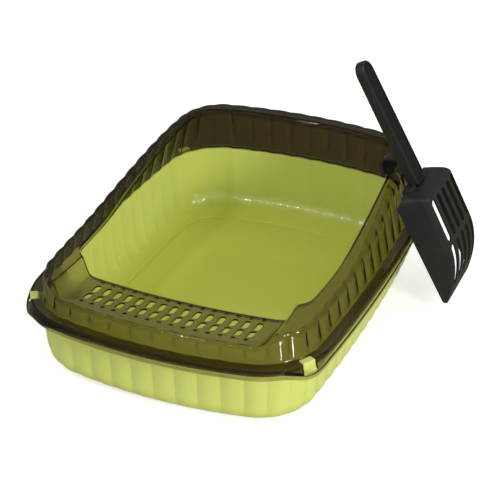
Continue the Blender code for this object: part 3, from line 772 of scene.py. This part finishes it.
def make_surround(material, edge):
    """Clear surround, with windows for the lugs and the holes of its ledge."""
    piece = ring_piece("smoky_surround", surround_section, material, capped=False)
    insets = (SEAT_GAP + LUG_DEPTH + WINDOW_GAP, -SKIRT_FLARE - STRAP_FLARE - OVERRUN)
    width = LUG_WIDTH + 2.0 * WINDOW_GAP
    heights = (FLANGE_HEIGHT + SEAT_GAP - LUG_HEIGHT - STRAP_GAP, FLANGE_HEIGHT + OVERRUN)
    windows = corner_blocks("lug_windows", insets, width, heights, 0.0, material)
    carve(piece, windows, "DIFFERENCE")
    # The holes' walls take the edge material, which is painted shade on the cut edges
    carve(piece, ledge_holes(edge), "DIFFERENCE")
    keep_painted_shade_on_far_walls(piece, edge)
    finish_shape(piece)
    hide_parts("surround")
    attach(piece, "splash_guard")


def cove_points(place, across, wall):
    """Cove from the wall's foot to the floor, with each flute ending in a round dome.

    A wall of 0 gives the inner face, and the tray's wall gives its underside.
    """
    points = []
    for step in range(COVE_STEPS + 1):
        share = step / COVE_STEPS
        turn = COVE_SWEEP * share
        inward = (1.0 - math.cos(turn)) / (1.0 - math.cos(COVE_SWEEP))
        down = math.sin(turn) / math.sin(COVE_SWEEP)
        past = max(share - DOME_START, 0.0) / DOME_LENGTH
        raised = FLUTE_DEPTH * (1.0 - flute(min(math.hypot(across, past), 1.0)))
        if wall == 0.0:
            raised *= mix(INNER_FLUTE_SHARE, 1.0, smooth(share / DOME_START))
        inset = TRAY_WALL_INSET + TRAY_DRAFT + raised - wall
        flat = arc_point(BODY, place, inset).lerp(floor_point(place), inward)
        low = 0.0 if wall > 0.0 else FLOOR_Z
        z = mix(FLOOR_Z + COVE_HEIGHT, low, down)
        points.append(Vector((*flat, z)))
    return points


def tray_section(place, across):
    """Inner face from the floor's groove up to the rim, then the outer face down again."""
    groove = FLUTE_DEPTH * (1.0 - flute(across))
    inside = TRAY_WALL_INSET + INNER_FLUTE_SHARE * groove
    top = TRAY_WALL_INSET + groove
    foot = TRAY_WALL_INSET + TRAY_DRAFT + groove
    low = FLOOR_Z + COVE_HEIGHT
    inner = []
    for out, down in FLOOR_GROOVE_SHARES:
        flat = floor_point(place, FLOOR_GROOVE_WIDTH * out)
        inner.append(Vector((*flat, FLOOR_Z - FLOOR_GROOVE * down)))
    inner += cove_points(place, across, 0.0)[::-1]
    brim = RIM_Z - RIM_ROUND
    wall = line((inside + TRAY_DRAFT, low), (inside, brim), TRAY_WALL_STEPS)
    wall += arc((inside - RIM_ROUND, brim), RIM_ROUND, 0, 90, RIM_STEPS)
    wall += arc((RIM_EDGE_INSET + RIM_ROUND, brim), RIM_ROUND, 90, 180, RIM_STEPS)
    hem = RIM_Z - RIM_TURNDOWN
    wall += [(RIM_EDGE_INSET, hem), (RIM_EDGE_INSET + TRAY_WALL, hem)]
    under = RIM_Z - TRAY_WALL
    wall += [(RIM_EDGE_INSET + TRAY_WALL, under), (top - TRAY_WALL - RIM_ROUND, under)]
    wall.append((top - TRAY_WALL, under - RIM_ROUND))
    wall += line(wall[-1], (foot - TRAY_WALL, low), TRAY_WALL_STEPS)
    outer = cove_points(place, across, TRAY_WALL)
    return inner + [at(place, inset, z) for inset, z in wall] + outer


def make_tray(material):
    """Lime tray with its four moulded lugs."""
    piece = ring_piece("lime_tray", tray_section, material, capped=True)
    top = FLANGE_HEIGHT + SEAT_GAP
    insets = (SEAT_GAP + LUG_DEPTH, SEAT_GAP)
    heights = (top - LUG_HEIGHT, top)
    lugs = corner_blocks("lugs", insets, LUG_WIDTH, heights, LUG_EDGE, material)
    carve(piece, lugs, "UNION")
    finish_shape(piece)
    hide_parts("tray")
    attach(piece, "base")


def hanging_point():
    """Where the hook sits: at the opening's edge, clear of the band's highest point there."""
    place = math.asin(HOOK_Y / (SIDE_BOW_RADIUS - OPENING_INSET)) / BODY[0][3]
    place *= 1.0 + HOOK_WIDTH / 2.0 / HOOK_Y
    height = FLANGE_HEIGHT + band_rise(place) + SEAT_GAP
    return Vector((opening_point(place).x, HOOK_Y, height))


def scoop_frame():
    """The leaning frame of handle and pan: X outwards, Y across and Z up the handle."""
    return Matrix.Translation(hanging_point()) @ Matrix.Rotation(-SCOOP_LEAN, 4, "Y")


def handle_inner(down):
    """How far out the handle's inner face lies, at a distance below its top."""
    return SCOOP_STANDOFF - mix(HANDLE_TOP_SET_IN, HANDLE_FOOT_SET_IN, down / HANDLE_LENGTH)


def handle_outer(down):
    """The same for its outer face."""
    return handle_inner(down) + mix(HANDLE_THIN, HANDLE_THICK, down / HANDLE_LENGTH)


def handle_outline(inset):
    """Outline with a round top and rounded foot corners, as (across, down) points."""
    half = HANDLE_WIDTH / 2.0 - inset
    points = []
    for step in range(HANDLE_END_STEPS + 1):
        turn = math.pi * step / HANDLE_END_STEPS
        points.append((half * math.cos(turn), HANDLE_WIDTH / 2.0 - half * math.sin(turn)))
    corner = min(HANDLE_CORNER, half)
    foot = HANDLE_LENGTH - inset
    turns = quarter_turns(HANDLE_CORNER_STEPS)
    for side, corner_turns in ((-1.0, turns), (1.0, reversed(turns))):
        for turn in corner_turns:
            across = side * (half - corner + corner * math.cos(turn))
            points.append((across, foot - corner + corner * math.sin(turn)))
    return points


def handle_levels():
    """Rings round the handle, as (inset from its outline, face, offset from that face).

    They run over the rounded inner edge, the rounded outer edge, the rim and the sunk face.
    """
    levels = []
    turns = quarter_turns(HANDLE_EDGE_STEPS)
    for turn in turns:
        edge = HANDLE_EDGE * (1.0 - math.sin(turn))
        levels.append((edge, handle_inner, HANDLE_EDGE * (1.0 - math.cos(turn))))
    for turn in turns:
        edge = HANDLE_EDGE * (1.0 - math.cos(turn))
        levels.append((edge, handle_outer, HANDLE_EDGE * (math.sin(turn) - 1.0)))
    rim = HANDLE_EDGE + HANDLE_RIM
    for step in range(SINK_STEPS + 1):
        share = step / SINK_STEPS
        levels.append((rim + HANDLE_SINK * share, handle_outer, -HANDLE_SINK * smooth(share)))
    levels.append((HANDLE_WIDTH * HANDLE_CORE_SHARE, handle_outer, -HANDLE_SINK))
    return levels


def make_handle(material, recess_shade):
    """Handle with its hook. The recess material paints shade on the sunk face and the hook's
    rib, darker than the handle's own black.
    """
    mesh = bmesh.new()
    rings = []
    for inset, face, offset in handle_levels():
        ring = []
        for across, down in handle_outline(inset):
            out = face(down) + offset
            ring.append(mesh.verts.new((out, across, HANDLE_ABOVE_HOOK - down)))
        rings.append(ring)
    # Rings past the rim and the sunk end face take the recess material, which is painted shade
    for level, (inner, outer) in enumerate(zip(rings, rings[1:])):
        add_band(mesh, inner, outer, int(level >= HANDLE_RIM_LEVEL))
    mesh.faces.new(reversed(rings[0]))
    mesh.faces.new(rings[-1]).material_index = 1
    piece = from_bmesh("black_handle", mesh, material, scoop_frame())
    piece.data.materials.append(recess_shade)
    carve(piece, upright_plate(hook_outline(), HOOK_WIDTH, material), "UNION")
    carve(piece, upright_plate(rib_outline(), HOOK_RIB_WIDTH, recess_shade), "UNION")
    finish_shape(piece)
    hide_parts("scoop_handle")
    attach(piece, "scoop")


def hook_root():
    """How far out the hook reaches into the handle."""
    return SCOOP_STANDOFF - HOOK_RISE * math.tan(SCOOP_LEAN) / 2.0


def hook_bend(radius):
    """Quarter turn of the hook, from its top to the start of its leg."""
    centre_x = HOOK_BEND_RADIUS - HOOK_BACK
    centre_z = HOOK_RISE - HOOK_BEND_RADIUS
    points = []
    for turn in quarter_turns(HOOK_BEND_STEPS):
        points.append((centre_x - radius * math.sin(turn), centre_z + radius * math.cos(turn)))
    return points


def hook_outline():
    """Side view of the curled strip, with its seat at the origin and its mouth downwards."""
    points = [(hook_root(), HOOK_RISE)]
    points += hook_bend(HOOK_BEND_RADIUS)
    points.append((HOOK_LEG - HOOK_THICKNESS, -HOOK_LEG_DROP))
    points.append((HOOK_LEG, -HOOK_LEG_DROP))
    points.append((HOOK_LEG, 0.0))
    points += reversed(hook_bend(HOOK_BEND_RADIUS - HOOK_THICKNESS))
    points.append((hook_root(), HOOK_RISE - HOOK_THICKNESS))
    return points


def rib_outline():
    """Side view of the rib inside the strip, whose foot sits on the band."""
    points = [(HOOK_LEG - HOOK_THICKNESS / 2.0, 0.0), (HOOK_SEAT, 0.0)]
    points.append((HOOK_SEAT + HOOK_GUSSET, HOOK_RISE - HOOK_THICKNESS / 2.0))
    return points + hook_bend(HOOK_BEND_RADIUS - HOOK_THICKNESS / 2.0)


def upright_plate(points, width, material):
    """Plate of one width from a side view, standing upright at the hanging point."""
    near, far = ([(x, side * width / 2.0, z) for x, z in points] for side in (-1.0, 1.0))
    return make_prism("plate", near, far, material, Matrix.Translation(hanging_point()))


def round_over(distance, radius):
    """How far a quarter-round edge stands back at a distance from its end."""
    if distance >= radius:
        return 0.0
    return radius - math.sqrt(radius**2 - (radius - distance) ** 2)


def pan_z(run):
    """Height in the scoop's frame at a distance from the pan's rear edge."""
    return HANDLE_ABOVE_HOOK - HANDLE_LENGTH + PAN_OVERLAP - run


def fold_share(turn, fold):
    """How far down the wall a point on the fold lies."""
    return 1.0 - (1.0 - math.sin(turn)) * fold / PAN_DEPTH


def pan_profile():
    """Runs from the rear edge with the depth reached there."""
    profile = []
    for step in range(PAN_FLAT_STEPS):
        share = fold_share(0.0, PAN_FOLD) * step / PAN_FLAT_STEPS
        profile.append((PAN_REAR_SLOPE * share, PAN_DEPTH * share))
    for turn in quarter_turns(PAN_FOLD_STEPS):
        share = fold_share(turn, PAN_FOLD)
        run = PAN_REAR_SLOPE * share + PAN_FOLD * (1.0 - math.cos(turn)) / 2.0
        profile.append((run, PAN_DEPTH * share))
    for step in range(PAN_STEPS + 1):
        share = step / PAN_STEPS
        run = mix(PAN_FLAT_SHARE * PAN_LENGTH, PAN_LENGTH, share)
        profile.append((run, mix(PAN_DEPTH, -PAN_TOE_SET_BACK, share**2)))
    return profile


def inner_profile(profile):
    """The same places on the inner face, one wall's thickness away."""
    inner = [(profile[0][0] + PAN_WALL, profile[0][1])]
    for before, here, after in zip(profile, profile[1:], profile[2:] + profile[-1:]):
        along = Vector(after) - Vector(before)
        along.normalize()
        inner.append((here[0] + PAN_WALL * along.y, here[1] - PAN_WALL * along.x))
    return inner


def pan_section(rim, half, depth, fold):
    """Half section of one face of the pan from rim to middle, as (out, across) points."""
    start = mix(rim, depth, fold_share(0.0, fold))
    section = []
    for step in range(PAN_SIDE_STEPS):
        share = step / PAN_SIDE_STEPS
        section.append((mix(rim, start, share), half - PAN_SIDE_TAPER * share))
    for turn in quarter_turns(PAN_FOLD_STEPS):
        across = half - PAN_SIDE_TAPER - fold * (1.0 - math.cos(turn))
        section.append((mix(rim, depth, fold_share(turn, fold)), across))
    section.append((depth, 0.0))
    return section


def pan_body():
    """Closed wall of the pan, in the scoop's own frame."""
    mesh = bmesh.new()
    profile = pan_profile()
    rows = []
    for outer, inner in zip(profile, inner_profile(profile)):
        half = PAN_WIDTH / 2.0 - round_over(outer[0], PAN_CORNER)
        bow = PAN_RIM_RISE + PAN_RIM_BOW * (1.0 - outer[0] / PAN_LENGTH)
        rim = -bow * smooth(outer[0] / PAN_RIM_START)
        ring = []
        for (run, depth), wall in ((outer, 0.0), (inner, PAN_WALL)):
            face = pan_section(rim, half - wall, depth, PAN_FOLD - wall)
            face += [(out, -across) for out, across in face[-2::-1]]
            if wall > 0.0:
                face.reverse()
            for out, across in face:
                ring.append(mesh.verts.new((SCOOP_STANDOFF + out, across, pan_z(run))))
        rows.append(ring)
    count = len(rows[0])
    for upper, lower in zip(rows, rows[1:]):
        add_band(mesh, upper, lower)
    for ring in (rows[0], rows[-1]):
        for index in range(count // 2 - 1):
            far = count - 1 - index
            mesh.faces.new((ring[index], ring[index + 1], ring[far - 1], ring[far]))
    return mesh


def pan_slots(material):
    """Tools for the two rows of long slots through the pan."""
    mesh = bmesh.new()
    toe_start = PAN_SLOT_START_SHARE + PAN_SLOT_SHARE + PAN_BRIDGE_SHARE
    rows = [(PAN_SLOT_START_SHARE, PAN_SLOT_SHARE), (toe_start, PAN_TOE_SLOT_SHARE)]
    height = 2.0 * (PAN_DEPTH + OVERRUN)
    for column in range(PAN_SLOT_COLUMNS):
        across = (column - (PAN_SLOT_COLUMNS - 1) / 2.0) * PAN_SLOT_PITCH
        for start, share in rows:
            length = share * PAN_LENGTH
            made = add_stadium(mesh, Vector(), length, PAN_SLOT_WIDTH, height)
            middle = pan_z(start * PAN_LENGTH + length / 2.0)
            for vert in made:
                x, y, z = vert.co
                vert.co = (SCOOP_STANDOFF + PAN_DEPTH + z, across + x, middle + y)
    return from_bmesh("pan_slots", mesh, material, scoop_frame())


def toe_outline(material):
    """Prism that leaves the pan with rounded corners at its toe."""
    toe = pan_z(PAN_LENGTH)
    half = PAN_WIDTH / 2.0
    points = [(half + OVERRUN, pan_z(-OVERRUN)), (half + OVERRUN, toe + PAN_TOE_CORNER)]
    for turn in quarter_turns(PAN_FOLD_STEPS):
        across = half - PAN_TOE_CORNER * (1.0 - math.cos(turn))
        points.append((across, toe + PAN_TOE_CORNER * (1.0 - math.sin(turn))))
    points.append((half - PAN_TOE_CORNER, toe - OVERRUN))
    points += [(-across, z) for across, z in reversed(points)]
    near, far = (
        [(SCOOP_STANDOFF + out, across, z) for across, z in points]
        for out in (-PAN_DEPTH, PAN_DEPTH + OVERRUN)
    )
    return make_prism("toe_outline", near, far, material, scoop_frame())


def pan_block(half_width, depths, above, below, edge, material):
    """Block round the foot of the handle, between two depths outwards from the pan's rim."""
    mesh = bmesh.new()
    foot = HANDLE_ABOVE_HOOK - HANDLE_LENGTH
    low = Vector((SCOOP_STANDOFF + depths[0], -half_width, foot - below))
    high = Vector((SCOOP_STANDOFF + depths[1], half_width, foot + above))
    add_block(mesh, high - low, (low + high) / 2.0)
    round_edges(mesh, edge)
    return from_bmesh("pan_block", mesh, material, scoop_frame())


def make_pan(material):
    """Slotted pan with folded sides, and a cradle that holds the end of the handle."""
    piece = from_bmesh("black_pan", pan_body(), material, scoop_frame())
    carve(piece, pan_slots(material), "DIFFERENCE")
    carve(piece, toe_outline(material), "INTERSECT")
    floor = handle_inner(HANDLE_LENGTH - CRADLE_LENGTH) - SCOOP_STANDOFF - SEAT_GAP
    half = HANDLE_WIDTH / 2.0 + SEAT_GAP
    low = SEAT_GAP + CRADLE_WALL
    depths = (floor - CRADLE_WALL, CRADLE_CHEEK)
    cradle = pan_block(CRADLE_WIDTH / 2.0, depths, CRADLE_LENGTH, low, CRADLE_EDGE, material)
    depths = (floor, PAN_DEPTH + OVERRUN)
    for body in (piece, cradle):
        notch = pan_block(half, depths, CRADLE_LENGTH + OVERRUN, SEAT_GAP, 0.0, material)
        carve(body, notch, "DIFFERENCE")
    join(piece, cradle)
    finish_shape(piece)
    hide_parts("scoop_pan")
    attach(piece, "scoop")


def set_inputs(node, values):
    for name, value in values.items():
        node.inputs[name].default_value = value


def add_node(tree, kind, values):
    node = tree.nodes.new(kind)
    set_inputs(node, values)
    return node


def new_material(name, finish):
    material = bpy.data.materials.new(name)
    material.use_nodes = True
    tree = material.node_tree
    shader = tree.nodes["Principled BSDF"]
    set_inputs(shader, finish)
    return material, tree, shader


def add_noise(tree, scale, detail, stretch=(1.0, 1.0, 1.0)):
    """Noise in the object's own coordinates."""
    place = tree.nodes.new("ShaderNodeTexCoord")
    mapping = add_node(tree, "ShaderNodeMapping", {"Scale": stretch})
    noise = add_node(tree, "ShaderNodeTexNoise", {"Scale": scale, "Detail": detail})
    tree.links.new(place.outputs["Object"], mapping.inputs["Vector"])
    tree.links.new(mapping.outputs["Vector"], noise.inputs["Vector"])
    return noise.outputs["Fac"]


def add_range(tree, value, source, target=(0.0, 1.0)):
    """Value moved from one range to another, and held inside it."""
    names = ("From Min", "From Max", "To Min", "To Max")
    node = add_node(tree, "ShaderNodeMapRange", dict(zip(names, source + target)))
    tree.links.new(value, node.inputs["Value"])
    return node.outputs["Result"]


def add_roughness(tree, shader, noise, limits):
    rough = add_range(tree, noise, NOISE_BAND, limits)
    tree.links.new(rough, shader.inputs["Roughness"])


def add_bump(tree, shader, value, distance, strength, before=None):
    bump = add_node(tree, "ShaderNodeBump", {"Distance": distance, "Strength": strength})
    tree.links.new(value, bump.inputs["Height"])
    if before:
        tree.links.new(before.outputs["Normal"], bump.inputs["Normal"])
    tree.links.new(bump.outputs["Normal"], shader.inputs["Normal"])
    return bump


def add_ramp(tree, noise, colours):
    """Colour that runs from the first to the second over the noise's band."""
    ramp = tree.nodes.new("ShaderNodeValToRGB")
    for element, position, colour in zip(ramp.color_ramp.elements, NOISE_BAND, colours):
        element.position = position
        element.color = (*colour, 1.0)
    tree.links.new(noise, ramp.inputs["Fac"])
    return ramp.outputs["Color"]


def make_lime():
    """Satin moulded plastic with faint flow marks and a fine skin, painted paler up the walls
    as a painted sheen.
    """
    material, tree, shader = new_material("lime_plastic", LIME_FINISH)
    flow = add_noise(tree, scale=9.0, detail=3.0)
    floor = add_ramp(tree, flow, LIME_FLOOR)
    walls = add_ramp(tree, flow, LIME_WALLS_PAINTED_SHEEN)
    # Painted sheen: over the cove's height the colour turns from the floor's to the walls'
    # paler one
    place = tree.nodes.new("ShaderNodeTexCoord")
    split = tree.nodes.new("ShaderNodeSeparateXYZ")
    tree.links.new(place.outputs["Object"], split.inputs[0])
    height = add_range(tree, split.outputs["Z"], (FLOOR_Z, FLOOR_Z + COVE_HEIGHT))
    mixer = tree.nodes.new("ShaderNodeMix")
    mixer.data_type = "RGBA"
    tree.links.new(height, mixer.inputs["Factor"])
    tree.links.new(floor, mixer.inputs["A"])
    tree.links.new(walls, mixer.inputs["B"])
    tree.links.new(mixer.outputs["Result"], shader.inputs["Base Color"])
    drawn = add_noise(tree, scale=60.0, detail=4.0, stretch=LIME_STREAKS)
    add_roughness(tree, shader, drawn, LIME_ROUGHNESS)
    swell = add_noise(tree, scale=22.0, detail=2.0)
    wave = add_bump(tree, shader, swell, distance=0.0006, strength=0.15)
    grain = add_noise(tree, scale=1400.0, detail=2.0)
    add_bump(tree, shader, grain, distance=0.00004, strength=0.25, before=wave)
    return material


def make_smoky():
    """Clear smoke-brown plastic, tinted through its thickness."""
    material, tree, shader = new_material("smoky_plastic", SMOKY_FINISH)
    add_roughness(tree, shader, add_noise(tree, scale=40.0, detail=3.0), SMOKY_ROUGHNESS)
    swell = add_noise(tree, scale=30.0, detail=2.0)
    add_bump(tree, shader, swell, distance=0.0004, strength=0.12)
    tint = add_node(tree, "ShaderNodeVolumeAbsorption", SMOKY_TINT)
    tree.links.new(tint.outputs["Volume"], tree.nodes["Material Output"].inputs["Volume"])
    return material


def make_painted_edge_shade():
    """Painted shade on the cut edges of the clear plastic: a dark opaque skin where the
    plastic's thickness looks dark.
    """
    material, tree, shader = new_material("smoky_edge_painted_shade", {})
    tone = add_ramp(tree, add_noise(tree, scale=300.0, detail=2.0), EDGE_PAINTED_SHADE_TONES)
    tree.links.new(tone, shader.inputs["Base Color"])
    add_roughness(tree, shader, add_noise(tree, scale=200.0, detail=2.0), EDGE_ROUGHNESS)
    return material


def make_black(name, colours, roughness):
    """Black plastic with a fine eroded skin."""
    material, tree, shader = new_material(name, BLACK_FINISH)
    tone = add_ramp(tree, add_noise(tree, scale=35.0, detail=3.0), colours)
    tree.links.new(tone, shader.inputs["Base Color"])
    add_roughness(tree, shader, add_noise(tree, scale=90.0, detail=4.0), roughness)
    grain = add_noise(tree, scale=900.0, detail=3.0)
    add_bump(tree, shader, grain, distance=0.00006, strength=0.35)
    return material


def make_camera():
    data = bpy.data.cameras.new("camera")
    data.lens = CAMERA_LENS
    data.sensor_width = CAMERA_SENSOR
    camera = add_object("camera", data)
    forward = Vector(CAMERA_FORWARD).normalized()
    right = forward.cross(Vector((0.0, 0.0, 1.0))).normalized()
    up = right.cross(forward)
    right, up = (
        math.cos(CAMERA_ROLL) * right + math.sin(CAMERA_ROLL) * up,
        math.cos(CAMERA_ROLL) * up - math.sin(CAMERA_ROLL) * right,
    )
    camera.location = CAMERA_PLACE
    camera.rotation_euler = Matrix((right, up, -forward)).transposed().to_euler()
    bpy.context.scene.camera = camera


def add_shade(tree, kind, look):
    """Output of an emission or background node with a colour and a strength."""
    colour, strength = look
    return add_node(tree, kind, {"Color": (*colour, 1.0), "Strength": strength}).outputs[0]


def choose(tree, switch, off, on):
    mixer = tree.nodes.new("ShaderNodeMixShader")
    tree.links.new(switch, mixer.inputs[0])
    tree.links.new(off, mixer.inputs[1])
    tree.links.new(on, mixer.inputs[2])
    return mixer.outputs[0]


def choose_by_ray(tree, plain, reflected, direct, through):
    """Shade for plain rays, reflections, the camera, and its view through clear plastic.

    The last, a painted shade, is for a fresh ray, which nothing has scattered since the camera.
    """
    path = tree.nodes.new("ShaderNodeLightPath")
    fresh = tree.nodes.new("ShaderNodeMath")
    fresh.operation = "LESS_THAN"
    fresh.inputs[1].default_value = 0.5
    tree.links.new(path.outputs["Diffuse Depth"], fresh.inputs[0])
    both = tree.nodes.new("ShaderNodeMath")
    both.operation = "MULTIPLY"
    tree.links.new(path.outputs["Is Transmission Ray"], both.inputs[0])
    tree.links.new(fresh.outputs[0], both.inputs[1])
    shown = choose(tree, path.outputs["Is Glossy Ray"], plain, reflected)
    shown = choose(tree, path.outputs["Is Camera Ray"], shown, direct)
    return choose(tree, both.outputs[0], shown, through)


def clear_tree(owner, out_kind):
    """Emptied tree of a material or world, and the surface input of its new output."""
    owner.use_nodes = True
    tree = owner.node_tree
    tree.nodes.clear()
    return tree, tree.nodes.new(out_kind).inputs["Surface"]


def make_floor():
    bpy.ops.mesh.primitive_plane_add(size=FLOOR_SIZE, location=(0.0, 0.0, -FLOOR_DROP))
    floor = bpy.context.object
    floor.name = "floor"
    material = bpy.data.materials.new("floor")
    tree, surface = clear_tree(material, "ShaderNodeOutputMaterial")
    pale = add_node(tree, "ShaderNodeBsdfDiffuse", {"Color": FLOOR_GREY}).outputs[0]
    glow = add_shade(tree, "ShaderNodeEmission", FLOOR_GLOW)
    white = tree.nodes.new("ShaderNodeAddShader")
    tree.links.new(pale, white.inputs[0])
    tree.links.new(glow, white.inputs[1])
    dark = add_shade(tree, "ShaderNodeEmission", SEEN_THROUGH_PAINTED_DARK)
    dim = add_shade(tree, "ShaderNodeEmission", FLOOR_REFLECTED)
    tree.links.new(choose_by_ray(tree, pale, dim, white.outputs[0], dark), surface)
    floor.data.materials.append(material)


def make_world():
    world = bpy.data.worlds.new("world")
    bpy.context.scene.world = world
    tree, surface = clear_tree(world, "ShaderNodeOutputWorld")
    white, room, gloss, dark = (
        add_shade(tree, "ShaderNodeBackground", look)
        for look in (WORLD_DIRECT, WORLD_ROOM, WORLD_REFLECTED, SEEN_THROUGH_PAINTED_DARK)
    )
    tree.links.new(choose_by_ray(tree, room, gloss, white, dark), surface)


def make_lamp(name, place, target, size, power, lights, shines):
    data = bpy.data.lights.new(name, "AREA")
    data.shape = "RECTANGLE"
    data.size, data.size_y = size
    data.energy = power
    lamp = add_object(name, data)
    lamp.location = place
    lamp.rotation_euler = (Vector(target) - Vector(place)).to_track_quat("-Z", "Y").to_euler()
    lamp.visible_camera = False
    lamp.visible_diffuse = lights
    lamp.visible_transmission = lights
    lamp.visible_glossy = shines


bpy.context.scene.view_settings.view_transform = "Standard"
make_camera()
make_floor()
make_world()
for lamp in LAMPS:
    make_lamp(*lamp)
make_tray(make_lime())
make_surround(make_smoky(), make_painted_edge_shade())
make_handle(
    make_black("black_handle", HANDLE_BLACK, HANDLE_ROUGHNESS),
    make_black("black_recess_painted_shade", RECESS_PAINTED_SHADE, RECESS_ROUGHNESS),
)
make_pan(make_black("black_pan", PAN_BLACK, PAN_ROUGHNESS))
